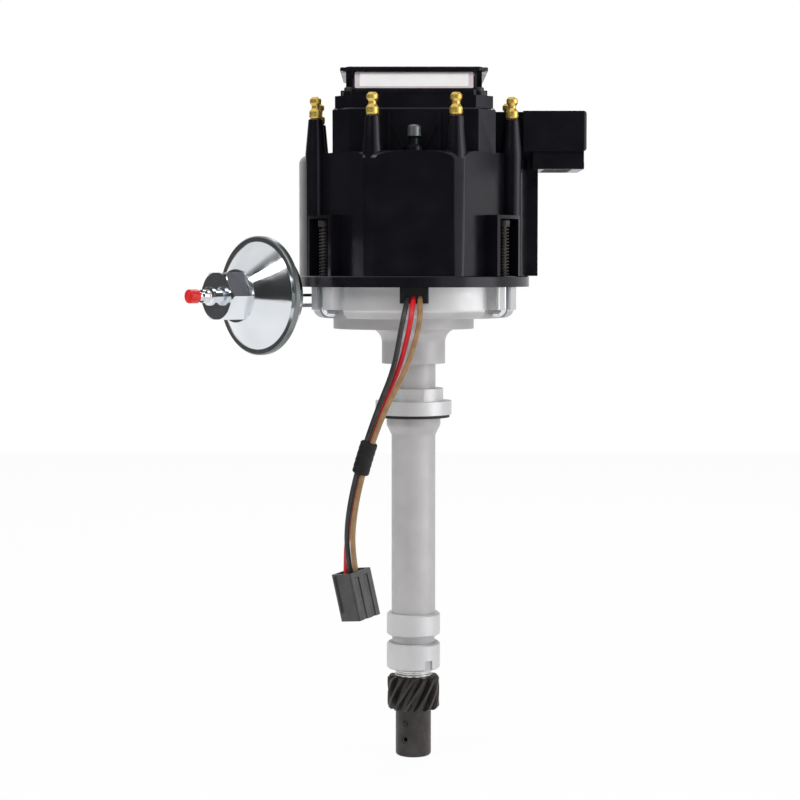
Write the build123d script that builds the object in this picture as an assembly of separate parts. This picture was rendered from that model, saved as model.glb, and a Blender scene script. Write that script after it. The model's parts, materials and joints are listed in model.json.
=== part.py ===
from build123d import *
import math
import os

# Ignition distributor for a V8 engine, with the coil in the cap. Millimetres, +Z up.
# The origin is on the shaft axis, at the underside of the mounting gasket.
# Azimuths are degrees from +X, seen from above. The front of the part faces -Y.

# ---- Fits and gaps -----------------------------------------------------------
run_fit = 0.04          # radial clearance of a shaft or sleeve that turns
seat_fit = 0.02         # radial clearance of a pressed or screwed piece
side_gap = 0.3          # between pieces that move past each other
end_play = 0.3          # along the shaft

# ---- Shaft and drive gear ----------------------------------------------------
shaft_dia = 12.47
gear_teeth = 13
gear_dia = 30.6
tooth_depth = 3.4
gear_length = 19.6
helix_angle = 34.0      # from the shaft axis, right hand
tooth_chamfer = 1.3
hub_dia = 20.9
hub_length = 27.9
hub_round = 1.6
pump_slot_width = 5.0
pump_slot_depth = 8.0
roll_pin_dia = 4.8
roll_pin_drop = 17.3    # below the gear teeth
hub_mark_azimuth = -118.0
thrust_washer_dia = 22.0
thrust_washer_count = 3
thrust_stack = 4.1

# ---- Housing, below the bowl -------------------------------------------------
bushing_dia = 18.0
bushing_length = 24.0
bore_dia = 16.6
stem_dia = 25.7
stem_length = 104.8
land_dia = 31.4
upper_land_length = 13.2
groove_dia = 25.0
groove_length = 4.3
lower_land_length = 15.6
land_chamfer = 1.0
pilot_dia = 31.6
pilot_length = 4.4
pilot_cone = 6.0
gasket_dia = 42.4
gasket_thick = 1.8
collar_dia = 44.6
collar_height = 7.9
ledge_dia = 34.8
ledge_height = 7.3
neck_dia = 25.8
neck_height = 14.6
boss_dia = 37.0
boss_height = 12.3
flare_height = 8.1
step_dia = 82.0
step_thick = 6.3
step_shift = -5.8       # the step is cast off the axis, toward -X

# ---- Bowl --------------------------------------------------------------------
bowl_dia = 117.0
bowl_wall = 4.0
bowl_floor = 4.0
bowl_depth = 14.0
bowl_round = 5.5
pivot_dia = 26.0        # the tower in the bowl on which the pickup plate turns
pivot_shoulder = 3.7    # height of its shoulder above the floor
pivot_shoulder_dia = 33.0
pivot_height = 9.7
lug_width = 20.0
lug_height = 12.9
pocket_width = 24.0

# ---- Latches -----------------------------------------------------------------
latch_azimuths = {"front_right": -35.0, "rear_right": 35.0, "rear_left": 145.0, "front_left": -145.0}
latch_offset = 3.3      # rod axis outside the bowl wall
latch_rod_dia = 3.6
latch_head_dia = 7.2
latch_head_thick = 3.2
latch_washer_thick = 1.0
latch_spring_dia = 6.4
latch_spring_wire = 0.9
hook_reach = 7.6
hook_bend = 3.4         # of the rod's axis, where it turns to the foot

# ---- Small parts in the bowl ---------------------------------------------------
clip_depth = 1.0
module_azimuth = 0.0
module_wall_gap = 1.5   # from the module to the bowl's wall
module_width = 11.4
module_sweep = 62.0
module_height = 7.0
module_lift = 2.0       # its pad's height above the bowl floor
module_screw_sweep = 25.0
condenser_azimuth = 80.0
condenser_dia = 11.0
condenser_length = 24.0
condenser_strap = 1.2
bracket_lift = 2.4
bracket_tab_gap = 3.5   # from the bracket's tab to the bowl's wall
bracket_tab_width = 8.0
bracket_tab_sweep = 42.0
bracket_screw_sweep = 15.5

# ---- Cap ---------------------------------------------------------------------
tower_count = 8
cap_seat = 1.5          # how far the cap's bottom edge lies inside the bowl's wall
cap_wall = 9.5
cap_height = 75.7
cap_roof = 4.0
cap_round = 5.0
cap_rim_height = 6.2
cap_rim_lip = 0.8
face_depth = 3.5        # of the flat faces at the front and rear
panel_depth = 8.8       # of the flat panels behind the latches
upper_wall = 12.0       # from the cap's outside to its bore above the rim
tower_base_dia = 11.8
tower_top_dia = 8.2
tower_height = 19.6
tip_dia = 7.3
tip_height = 12.5
stem_pin_dia = 4.4
pad_reach = 4.6
pad_width = 7.0
pad_height = 9.0
ear_height = 40.5       # of a latch's ear above the rim
ear_width = 24.0
ear_wall = 2.4
ear_plate = 2.0         # its top plate, with the hole for a screwdriver
driver_hole_dia = 5.2
front_post_dia = 7.6
front_post_height = 14.6

# ---- Coil well, coil and cover -----------------------------------------------
well_size = 92.0
well_height = 24.7
collar_in = 1.4         # how far the collar stands inside the well's face
well_collar_height = 7.0
well_corner = 10.0
well_wall = 4.2
well_floor = 5.0        # above the cap's roof line
step_in = 3.2           # the cover's step inside the collar's face
cover_step_height = 3.2
body_in = 3.0           # the cover's body inside its step
cover_body_height = 10.6
top_out = 3.2           # how far the top plate overhangs the body
cover_top_thick = 2.2
cover_wall = 2.4
core_side_gap = 9.4     # from the coil's frame to the well's inner wall
core_end_gap = 14.4
core_height = 14.0
core_lift = 8.0         # of the laminated frame above the well's floor
label_margin = 7.9      # bare panel at each end of the label plate
label_height = 7.8
label_thick = 0.6
seal_thick = 2.0
button_dia = 5.0
button_drop = 12.0      # of its boss below the cap's ceiling
button_boss_dia = 15.0
screw_dia = 4.0
screw_head_dia = 7.4
screw_head_thick = 2.4

# ---- Connector block on the cap ----------------------------------------------
block_reach = 98.6
block_tower_gap = 0.5   # between the hood and the towers beside it
block_width = 48.0
block_neck = 31.0       # its width between the two towers beside it
block_lift = 1.6
block_height = 22.8
skirt_drop = 10.2
skirt_inset = 1.5
block_wall = 2.4
socket_widths = (9.0, 16.0, 9.0)
socket_depth = 16.0
socket_spacing = 2.6
blade_spacing = 7.0
blade_root = 2.5
blade_width = 6.3
blade_thick = 0.8
blade_length = 14.0

# ---- Advance mechanism and rotor ---------------------------------------------
core_teeth = 8
core_dia = 41.0
core_tooth_depth = 4.0
core_tooth_width = 6.0
core_star_height = 8.0
pole_gap = 1.0
sleeve_wall = 3.2
sleeve_height = 17.6
base_plate_dia = 76.0
base_plate_thick = 2.0
weight_thick = 4.0
weight_inner_dia = 39.0
weight_width = 13.5
weight_sweep = 116.0
weight_pin_dia = 4.6
cam_dia = 37.8
cam_waist = 22.0
cam_post_r = 15.0
spring_post_dia = 2.2
spring_dia = 2.8
advance_travel = 11.0
rotor_post_azimuth = 149.0
rotor_post_dia = 8.4
rotor_azimuth = 59.0
rotor_post_height = 8.6
rotor_dia = 74.0
rotor_thick = 3.2
rotor_arm_width = 15.0
rotor_arm_height = 24.0
rotor_blade_width = 9.0
rotor_blade_thick = 1.2
spark_gap = 1.3

# ---- Pickup ------------------------------------------------------------------
plate_dia = 80.0
plate_thick = 2.0
magnet_dia = 64.0
magnet_wall = 7.0
magnet_height = 5.0
coil_wall = 8.0
pole_thick = 2.0
pole_tooth_height = 10.5
pole_tooth_width = 6.0
pole_tooth_thick = 2.0
clip_thick = 1.2

# ---- Vacuum advance ----------------------------------------------------------
vacuum_azimuth = 223.8  # the way the canister's nipple points
rod_radius = 37.0       # pull-rod pin, from the shaft axis
rod_swing = 10.0        # degrees that the pickup plate turns
rod_lift = 3.4          # rod axis above the pickup plate
rod_width = 5.0
rod_thick = 1.6
rod_pin_dia = 3.0
rim_distance = 86.1     # from the rod's pin, in mid travel, to the canister's rim
rim_dia = 67.5
sheet = 1.2
rear_depth = 12.0
rear_dia = 48.0
cone_height = 14.2
cone_small_dia = 30.0
hex_across = 26.2
hex_length = 15.2
hex_bore_dia = 20.0
nipple_dia = 7.3
nipple_length = 10.4
nipple_bead_dia = 10.4
port_cap_dia = 7.8
port_cap_length = 12.2
bracket_width = 22.0
bracket_thick = 2.0
diaphragm_plate_dia = 36.0
diaphragm_rest = -4.0   # its plate at rest, along the rod's line from the rim
rod_hole_r = 5.0
hex_end_wall = 2.4
nipple_bore_dia = 2.6
nipple_tip_r = 2.5

# ---- Harness -----------------------------------------------------------------
wire_dia = 3.0
grommet_width = 16.0
grommet_height = 9.0
grommet_flange = 1.5
grommet_stand = 1.2     # how far it stands out of the bowl's wall
sleeve_cover = 1.0      # thickness of the tape sleeve round the wires
sleeve_top = -9.0
sleeve_length = 18.0
plug_width = 16.3
plug_depth = 16.0
plug_height = 27.0
plug_wall = 1.6
plug_recess = 3.0
plug_socket = 12.0      # depth of the mouth that mates with the other half
plug_yaw = -48.0
plug_tilt = 12.0
plug_pitch = 4.0
plug_top = (-35.3, -64.0, -81.5)
wire_routes = {
    "black": [(-3.0, -55.0, 73.0), (-4.8, -67.0, 65.5), (-7.6, -70.5, 52.0), (-11.4, -70.8, 31.0),
              (-19.6, -69.6, 11.0), (-27.0, -68.0, -10.0), (-33.4, -66.6, -32.0), (-37.2, -65.0, -53.0),
              (-37.6, -64.2, -70.0), (-35.0, -63.9, -85.0)],
    "red": [(-0.1, -55.0, 73.0), (-1.0, -67.0, 65.5), (-3.0, -68.4, 52.0), (-8.4, -67.3, 31.0),
            (-17.8, -66.2, 11.0), (-25.2, -64.9, -10.0), (-31.2, -63.2, -32.0), (-35.6, -61.8, -53.0),
            (-38.2, -60.7, -70.0), (-38.0, -60.9, -85.0)],
    "brown": [(2.9, -55.0, 73.0), (3.6, -67.0, 65.5), (2.2, -70.4, 52.0), (-4.4, -71.4, 31.0),
              (-15.2, -70.6, 11.0), (-23.4, -69.2, -10.0), (-30.0, -68.1, -32.0), (-33.8, -67.0, -53.0),
              (-34.4, -66.9, -70.0), (-31.9, -66.9, -85.0)],
}

# ---- Radii and heights that follow ---------------------------------------------
shaft_r = shaft_dia / 2
bowl_r = bowl_dia / 2
bowl_inner_r = bowl_r - bowl_wall
module_r = bowl_inner_r - module_wall_gap - module_width / 2
bracket_tab_r = bowl_inner_r - bracket_tab_gap - bracket_tab_width / 2
pivot_r = pivot_dia / 2
cap_inner_r = bowl_r - cap_seat
cap_r = cap_inner_r + cap_wall
tower_r = cap_r - tower_base_dia / 2
face_r = cap_r - face_depth
panel_r = cap_r - panel_depth
upper_inner_r = cap_r - upper_wall
latch_r = bowl_r + latch_offset
lug_r = latch_r + latch_rod_dia / 2 + 1.3
pad_inner_r = cap_inner_r - pad_reach
rotor_tip_r = pad_inner_r - spark_gap

well_collar_size = well_size - 2 * collar_in
well_inner_size = well_collar_size - 2 * well_wall
cover_step_size = well_collar_size - 2 * step_in
cover_body_size = cover_step_size - 2 * body_in
cover_top_size = cover_body_size + 2 * top_out
core_size = well_inner_size - 2 * core_side_gap
core_depth = well_inner_size - 2 * core_end_gap
label_width = cover_body_size - 2 * label_margin

collar_z = gasket_thick
ledge_z = collar_z + collar_height
neck_z = ledge_z + ledge_height
boss_z = neck_z + neck_height
flare_z = boss_z + boss_height
step_z = flare_z + flare_height
bowl_z = step_z + step_thick
floor_z = bowl_z + bowl_floor
rim_z = floor_z + bowl_depth
stem_top_z = -pilot_length - pilot_cone
upper_land_z = stem_top_z - stem_length
groove_z = upper_land_z - upper_land_length
lower_land_z = groove_z - groove_length
housing_bottom_z = lower_land_z - lower_land_length
gear_top_z = housing_bottom_z - end_play - thrust_stack
gear_bottom_z = gear_top_z - gear_length
hub_bottom_z = gear_bottom_z - hub_length

plate_z = floor_z + pivot_shoulder
plate_top_z = plate_z + plate_thick
pivot_top_z = floor_z + pivot_height
pole_z = plate_top_z + magnet_height
core_bottom_z = pivot_top_z + end_play
core_mid_z = pole_z + pole_thick + 1.0
base_plate_z = core_bottom_z + sleeve_height
base_top_z = base_plate_z + base_plate_thick
weight_z = base_top_z + side_gap
cam_z = base_top_z + end_play
rotor_z = base_top_z + rotor_post_height
spring_z = cam_z + weight_thick + spring_dia / 2 + 0.2
rotor_top_z = rotor_z + rotor_thick
arm_top_z = rotor_top_z + rotor_arm_height
blade_top_z = arm_top_z + rotor_blade_thick
pad_z = arm_top_z - pad_height / 2

cap_top_z = rim_z + cap_height
cap_ceiling_z = cap_top_z - cap_roof
tower_top_z = cap_top_z + tower_height
well_top_z = cap_top_z + well_height
well_floor_z = cap_top_z + 1.0
collar_top_z = well_top_z + well_collar_height
core_z = well_floor_z + core_lift
button_boss_z = cap_ceiling_z - button_drop
cover_step_z = collar_top_z + cover_step_height
cover_body_z = cover_step_z + cover_body_height
cover_top_z = cover_body_z + cover_top_thick
band_top_z = rim_z + cap_rim_height
ear_top_z = rim_z + ear_height
latch_head_z = ear_top_z - ear_plate - side_gap - latch_head_thick
washer_z = latch_head_z - latch_washer_thick
lug_z = rim_z - lug_height
block_z = cap_top_z + block_lift
block_top_z = block_z + block_height
skirt_z = block_z - skirt_drop
skirt_inner_x = cap_r + 1.5
socket_x = (skirt_inner_x + block_reach - skirt_inset) / 2
socket_top_z = block_top_z - block_wall * 2
rod_z = plate_top_z + rod_lift
clip_z = plate_top_z + side_gap
hex_end = 0.8 + sheet + cone_height + hex_length
grommet_face = bowl_r + grommet_stand
rotor_post_r = weight_inner_dia / 2 + weight_width / 2 + 0.8
module_z = floor_z + module_lift
condenser_screw_z = floor_z + module_lift
bracket_z = floor_z + bracket_lift

# The pull rod lies on a line beside the shaft, between the lowest and highest
# points of the pin's arc. The canister's own frame has z along that line.
rod_offset = rod_radius * (1 + math.cos(math.radians(rod_swing / 2))) / 2
pull = Vector(1, 0, 0).rotate(Axis.Z, vacuum_azimuth)
foot = Vector(rod_offset, 0, 0).rotate(Axis.Z, vacuum_azimuth - 90)
rod_reach = rod_radius * math.sin(math.radians(rod_swing / 2))
rim_centre = foot + pull * rim_distance + Vector(0, 0, rod_z)
canister = Plane(origin=rim_centre, x_dir=Vector(0, 0, 1).cross(pull), z_dir=pull).location
plug_place = Pos(*plug_top) * Rot(0, -plug_tilt, 0) * Rot(0, 0, plug_yaw)


# ---- Shapes used in many places ------------------------------------------------
def turned(*points):
    """A solid of revolution about Z, from (radius, height) points."""
    outline = Polyline(*[(r, 0, z) for r, z in points], close=True)
    return revolve(make_face(outline), Axis.Z)


def disc(radius, low, high, place=(0, 0)):
    """An upright cylinder between two heights."""
    return Pos(place[0], place[1], low) * Cylinder(
        radius, high - low, align=(Align.CENTER, Align.CENTER, Align.MIN))


def ring(outer, inner, low, high, place=(0, 0)):
    return disc(outer, low, high, place) - disc(inner, low - 1, high + 1, place)


def block(x, y, z):
    """A box from three (low, high) pairs."""
    middle = [(low + high) / 2 for low, high in (x, y, z)]
    return Pos(*middle) * Box(x[1] - x[0], y[1] - y[0], z[1] - z[0])


def square(size, corner, low, high):
    """An upright square prism with cut corners."""
    half = size / 2
    cut = half - corner
    points = [(half, -cut), (half, cut), (cut, half), (-cut, half),
              (-half, cut), (-half, -cut), (-cut, -half), (cut, -half)]
    outline = make_face(Polyline(*points, close=True))
    return Pos(0, 0, low) * extrude(outline, high - low)


def polar(radius, azimuth):
    angle = math.radians(azimuth)
    return radius * math.cos(angle), radius * math.sin(angle)


def at_azimuth(shape, azimuth):
    return Rot(0, 0, azimuth) * shape


def screw(place, seat, length, head_dia=screw_head_dia, dia=screw_dia):
    """A pan-head screw with a straight slot, its head standing on the seat height."""
    head = disc(head_dia / 2, seat, seat + screw_head_thick, place)
    head = fillet(head.edges().group_by(Axis.Z)[-1], screw_head_thick / 3)
    slot = block((place[0] - head_dia, place[0] + head_dia), (place[1] - 0.5, place[1] + 0.5),
                 (seat + screw_head_thick * 0.6, seat + screw_head_thick + 1))
    return head - slot + disc(dia / 2, seat - length, seat, place)


def screw_hole(place, seat, length, dia=screw_dia):
    return disc(dia / 2 + seat_fit, seat - length - 0.2, seat + screw_head_thick, place)


# ---- Housing -------------------------------------------------------------------
def stem_body():
    """The turned column: lands, stem, pilot, collar, clamp ledge, neck and boss."""
    land_r, stem_r, pilot_r = land_dia / 2, stem_dia / 2, pilot_dia / 2
    neck_r, boss_r = neck_dia / 2, boss_dia / 2
    return turned(
        (0, housing_bottom_z), (land_r - land_chamfer, housing_bottom_z),
        (land_r, housing_bottom_z + land_chamfer), (land_r, lower_land_z - land_chamfer),
        (land_r - land_chamfer, lower_land_z), (groove_dia / 2, lower_land_z),
        (groove_dia / 2, groove_z), (land_r - land_chamfer, groove_z), (land_r, groove_z + land_chamfer),
        (land_r, upper_land_z - land_chamfer), (land_r - land_chamfer, upper_land_z),
        (stem_r, upper_land_z), (stem_r, stem_top_z), (pilot_r, -pilot_length), (pilot_r, collar_z),
        (collar_dia / 2, collar_z), (collar_dia / 2, ledge_z), (ledge_dia / 2, ledge_z),
        (ledge_dia / 2, neck_z), (neck_r, neck_z), (neck_r, boss_z), (boss_r, boss_z), (boss_r, flare_z),
        (boss_r, step_z), (0, step_z))


def flare():
    """The concave fillet from the boss to the step under the bowl."""
    boss_r, top_r = boss_dia / 2, boss_dia / 2 + flare_height
    bend = flare_height * math.sqrt(0.5)
    outline = make_face([
        Line((boss_r - 2, 0, flare_z), (boss_r, 0, flare_z)),
        ThreePointArc((boss_r, 0, flare_z), (top_r - bend, 0, flare_z + bend), (top_r, 0, step_z)),
        Line((top_r, 0, step_z), (boss_r - 2, 0, step_z)),
        Line((boss_r - 2, 0, step_z), (boss_r - 2, 0, flare_z))])
    return revolve(outline, Axis.Z)


def bowl_shell():
    """The bowl with its rounded foot, sloped inner corner and the pickup tower."""
    outer = turned((0, bowl_z), (bowl_r, bowl_z), (bowl_r, rim_z), (0, rim_z))
    outer = fillet(outer.edges().group_by(Axis.Z)[0], bowl_round)
    slope = 3.3
    hollow = turned((0, floor_z), (bowl_inner_r - slope, floor_z), (bowl_inner_r, floor_z + slope),
                    (bowl_inner_r, rim_z + 1), (0, rim_z + 1))
    return outer - hollow


def latch_lug():
    """One lug at azimuth 0: the notch for the rod and the pocket for the hook."""
    half, notch = lug_width / 2, latch_rod_dia / 2 + side_gap * 4
    lug = block((bowl_inner_r + 0.5, lug_r), (-half, half), (lug_z, rim_z))
    lug = fillet(lug.edges().filter_by(Axis.Z).group_by(Axis.X)[-1], 1.6)
    slot = block((latch_r, lug_r + 5), (-notch, notch), (lug_z - 1, rim_z + 1))
    return lug, slot + disc(notch, lug_z - 1, rim_z + 1, (latch_r, 0))


def hook_pocket():
    half = pocket_width / 2
    inner = latch_r - hook_reach - 2 * side_gap
    return block((inner, lug_r + 5), (-half, half), (bowl_z - 5, lug_z))


def housing_bore():
    """The bore with its two bushing seats."""
    seat_r = bushing_dia / 2 + seat_fit
    return (disc(bore_dia / 2, housing_bottom_z - 1, pivot_top_z + 1)
            + disc(seat_r, housing_bottom_z - 1, housing_bottom_z + bushing_length)
            + disc(seat_r, pivot_top_z - bushing_length, pivot_top_z + 1))


def housing_pads():
    """Raised pads on the bowl floor under the module, condenser clamp and bracket."""
    pads = at_azimuth(Pos(module_r, 0, 0) * block((-6, 6), (-8, 8), (floor_z - 1, module_z)), module_azimuth)
    for side in (-1, 1):
        pads += disc(4.0, floor_z - 1, bracket_z, bracket_screw_place(side))
    return pads + disc(4.0, floor_z - 1, condenser_screw_z, condenser_screw_place())


def canister_notch():
    """The gap in the bowl's wall through which the bracket and the rod pass."""
    half = bracket_width / 2 + side_gap
    inner = math.sqrt(bowl_inner_r ** 2 - (rod_offset + half) ** 2) - 4
    outer = math.sqrt((bowl_r + 2) ** 2 - (rod_offset - half) ** 2)
    return canister * block((-half, half), (bracket_z - rod_z - side_gap, rim_z - rod_z + 1),
                            (inner - rim_distance, outer - rim_distance))


def grommet_notch():
    half = grommet_width / 2 + seat_fit
    return block((-half, half), (-bowl_r - 5, -bowl_inner_r + 4), (rim_z - grommet_height, rim_z + 1))


def housing():
    body = stem_body() + flare() + disc(step_dia / 2, step_z, bowl_z, (step_shift, 0)) + bowl_shell()
    body += disc(pivot_shoulder_dia / 2, floor_z - 1, plate_z) + disc(pivot_r, floor_z - 1, pivot_top_z)
    lug, slot = latch_lug()
    for azimuth in latch_azimuths.values():
        body += at_azimuth(lug, azimuth)
    for azimuth in latch_azimuths.values():
        body -= at_azimuth(slot + hook_pocket(), azimuth)
    body += housing_pads()
    body -= canister_notch() + grommet_notch()
    body -= housing_bore()
    groove = ring(pivot_r + 1, pivot_r - clip_depth, clip_z, clip_z + clip_thick)
    body -= groove
    # Two flats on the clamp ledge and the oil slot across the lower land
    for side in (-1, 1):
        body -= block((-ledge_dia, ledge_dia), sorted((side * (ledge_dia / 2 - 0.8), side * ledge_dia)),
                      (ledge_z + 1.5, neck_z + 0.01))
    oil_slot = at_azimuth(block((land_dia / 2 - 1.2, land_dia), (-2.5, 2.5),
                                (housing_bottom_z - 1, housing_bottom_z + 6)), -55)
    body -= oil_slot
    for seat in all_housing_screws():
        body -= seat
    return body


# ---- Small parts in the housing --------------------------------------------------
def bracket_azimuth():
    """Where the pull rod's line crosses the arc of the bracket's tab."""
    return vacuum_azimuth - 90 + math.degrees(math.acos(rod_offset / bracket_tab_r))


def bracket_screw_place(side):
    return polar(bracket_tab_r, bracket_azimuth() + side * bracket_screw_sweep)


def condenser_screw_place():
    return polar(module_r - 1, condenser_azimuth + 20)


def module_screw_places():
    return [polar(module_r, module_azimuth + side * module_screw_sweep) for side in (-1, 1)]


def all_housing_screws():
    holes = [screw_hole(place, module_z + module_height, module_height + 4, 3.0)
             for place in module_screw_places()]
    holes += [screw_hole(bracket_screw_place(side), bracket_z + bracket_thick, 6, 3.5) for side in (-1, 1)]
    holes.append(screw_hole(condenser_screw_place(), condenser_screw_z + 1.2, 5, 3.5))
    return holes


def bushing(low):
    body = ring(bushing_dia / 2, shaft_r + run_fit, low, low + bushing_length)
    return chamfer(body.edges().filter_by(GeomType.CIRCLE).group_by(SortBy.RADIUS)[-1], 0.5)


def gasket():
    return ring(gasket_dia / 2, pilot_dia / 2 + seat_fit, 0, gasket_thick)


def retaining_clip():
    """An open spring ring in the groove above the pickup plate."""
    body = ring(pivot_r + 2.4, pivot_r - clip_depth + seat_fit, clip_z, clip_z + clip_thick)
    return body - at_azimuth(block((0, pivot_r + 5), (-4, 4), (clip_z - 1, clip_z + 5)), 60)


def module():
    """The ignition module: a crescent block with two moulded terminal ends."""
    body = arc_block(module_r, module_width, module_azimuth, module_sweep, module_z,
                     module_z + module_height)
    body = fillet(body.edges().group_by(Axis.Z)[-1], 0.8)
    for place in module_screw_places():
        body -= screw_hole(place, module_z + module_height, module_height, 3.0)
    return body


def arc_block(radius, width, azimuth, sweep, low, high):
    """A block that follows an arc about the shaft, between two heights."""
    outer, inner = radius + width / 2, radius - width / 2
    a, b = math.radians(azimuth - sweep / 2), math.radians(azimuth + sweep / 2)
    middle = math.radians(azimuth)
    corners = [(r * math.cos(t), r * math.sin(t)) for r, t in
               ((outer, a), (outer, middle), (outer, b), (inner, b), (inner, middle), (inner, a))]
    outline = make_face([ThreePointArc(*corners[:3]), Line(corners[2], corners[3]),
                         ThreePointArc(*corners[3:]), Line(corners[5], corners[0])])
    return Pos(0, 0, low) * extrude(outline, high - low)


def bowl_screws():
    """The screws that hold the module, the bracket and the condenser's strap."""
    screws = [screw(place, module_z + module_height, module_height + 3, 5.6, 3.0)
              for place in module_screw_places()]
    screws += [screw(bracket_screw_place(side), bracket_z + bracket_thick, 5.5, 6.0, 3.5) for side in (-1, 1)]
    screws.append(screw(condenser_screw_place(), condenser_screw_z + condenser_strap, 4.5, 6.4, 3.5))
    return screws


def condenser():
    """The radio capacitor: a can on its side with its strap, clamped to the floor."""
    r = condenser_dia / 2
    x, y = polar(module_r, condenser_azimuth)
    can = Cylinder(r, condenser_length)
    can = chamfer(can.edges(), 0.8)
    lying = Pos(x, y, condenser_screw_z + r) * Rot(0, 0, condenser_azimuth) * Rot(90, 0, 0)
    screw_x, screw_y = condenser_screw_place()
    strap = Pos(screw_x, screw_y, condenser_screw_z) * Rot(0, 0, condenser_azimuth) * block(
        (-4, 4), (-9, 4), (0, condenser_strap))
    body = lying * can + strap
    return body - screw_hole((screw_x, screw_y), condenser_screw_z + condenser_strap, 4, 3.5)


# ---- Cap -----------------------------------------------------------------------
def terminal(azimuth):
    """A tower terminal: tip with its groove, pin in the wall, pad inside the cap."""
    tip_r, pin_r = tip_dia / 2, stem_pin_dia / 2
    z = tower_top_z
    tip = turned((0, pad_z + 2), (pin_r, pad_z + 2), (pin_r, z), (tip_r * 0.82, z), (tip_r, z + 1.2),
                 (tip_r, z + 4.2), (tip_r * 0.62, z + 6.0), (tip_r * 0.62, z + 7.6), (tip_r * 0.9, z + 9.0),
                 (tip_r * 0.9, z + tip_height - 1.4), (tip_r * 0.55, z + tip_height), (0, z + tip_height))
    pad = block((pad_inner_r - tower_r, pin_r), (-pad_width / 2, pad_width / 2), (pad_z, pad_z + pad_height))
    pad &= at_centre_ring(tower_r, pad_inner_r)
    return at_azimuth(Pos(tower_r, 0, 0) * (tip + pad), azimuth)


def at_centre_ring(shift, inner):
    """A tall ring about the shaft, seen from a point that lies shift off the axis."""
    return Pos(-shift, 0, 0) * ring(cap_r, inner, pad_z - 5, pad_z + pad_height + 5)


def tower_azimuths():
    return [(number + 0.5) * 360 / tower_count for number in range(tower_count)]


def tower(azimuth):
    """A tapered tower on the roof and the round column that carries it down the wall."""
    base_r, top_r = tower_base_dia / 2, tower_top_dia / 2
    body = turned((0, cap_ceiling_z), (base_r, cap_ceiling_z), (base_r, cap_top_z), (top_r, tower_top_z),
                  (0, tower_top_z))
    body = fillet(body.edges().group_by(Axis.Z)[-1], 0.8)
    column = disc(base_r, band_top_z, cap_top_z - 0.5)
    return at_azimuth(Pos(tower_r, 0, 0) * (body + column), azimuth)


def cap_body():
    """The cup with its rounded shoulder, its flats and the rim band at its foot."""
    outer = turned((0, rim_z), (cap_r, rim_z), (cap_r, cap_top_z), (0, cap_top_z))
    outer = fillet(outer.edges().group_by(Axis.Z)[-1], cap_round)
    for azimuth in (-90, 90):
        face = block((face_r, cap_r + 1), (-tower_r / 2, tower_r / 2), (band_top_z, cap_top_z + 1))
        outer -= at_azimuth(face, azimuth)
    for azimuth in latch_azimuths.values():
        outer -= latch_panel(azimuth)
    band = disc(cap_r + cap_rim_lip, rim_z, band_top_z)
    band = chamfer(band.edges().group_by(Axis.Z)[-1], cap_rim_lip * 0.7)
    return outer + band


def latch_panel(azimuth):
    """The flat between two columns that clears a screwdriver, round the latch's ear."""
    turns = [(tower - azimuth + 180) % 360 - 180 for tower in tower_azimuths()]
    nearest = min(turns, key=abs)
    near = tower_r * math.sin(math.radians(nearest))
    far = -math.copysign(math.sqrt(cap_r ** 2 - panel_r ** 2) + 1, nearest)
    flat = block((panel_r, cap_r + 1), sorted((near, far)), (band_top_z, cap_top_z + 1))
    ear = block((panel_r - 1, cap_r + 2), (-ear_width / 2, ear_width / 2), (rim_z, ear_top_z))
    return at_azimuth(flat - ear, azimuth)


def latch_channel():
    """The open channel in an ear, in which the latch and its spring stand."""
    half = ear_width / 2 - ear_wall
    return block((panel_r, cap_r + 1), (-half, half), (band_top_z, ear_top_z - ear_plate))


def latch_bore():
    """The rod's hole through the rim band and the screwdriver's through the ear's plate."""
    rod_hole = disc(latch_rod_dia / 2 + side_gap, rim_z - 1, band_top_z + 1, (latch_r, 0))
    return rod_hole + disc(driver_hole_dia / 2, ear_top_z - ear_plate - 1, ear_top_z + 1, (latch_r, 0))


def coil_well():
    """The square well on the roof that holds the coil, with its stepped collar."""
    well = square(well_size, well_corner, cap_top_z - 1, well_top_z)
    well = chamfer(well.edges().group_by(Axis.Z)[-1], 1.0)
    return well + square(well_collar_size, well_corner, well_top_z - 1, collar_top_z)


def well_hollow():
    return square(well_inner_size, well_corner * 0.7, well_floor_z, collar_top_z + 1)


def front_ribs():
    """The moulded ribs on the well's front wall, on each side of the front post."""
    face = -well_size / 2
    ribs = []
    for side in (-1, 1):
        x = side * 14.0
        ribs.append(block((x - 1.0, x + 1.0), (face - 1.6, face + 1), (cap_top_z - 1, well_top_z - 2)))
        brace = Pos(side * 10.0, face, cap_top_z + well_height * 0.45) * Rot(0, side * 26, 0)
        ribs.append(brace * Box(1.6, 2.6, well_height * 0.8))
    return ribs


def front_post():
    """The small ringed post on the roof in front of the well."""
    r, z, top = front_post_dia / 2, cap_top_z, cap_top_z + front_post_height
    post = turned((0, z - 2), (r * 1.2, z - 2), (r * 1.2, z + 2.4), (r * 0.7, z + 3.6), (r * 0.7, z + 7.0),
                  (r, z + 8.2), (r, top - 1.2), (r - 1.2, top), (0, top))
    return Pos(0, -(well_size / 2 + front_post_dia * 0.8), 0) * post


def socket_centres():
    """Middle of each socket across the connector block, in Y."""
    total = sum(socket_widths) + 2 * socket_spacing
    edge = -total / 2
    centres = []
    for width in socket_widths:
        centres.append(edge + width / 2)
        edge += width + socket_spacing
    return centres


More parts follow.
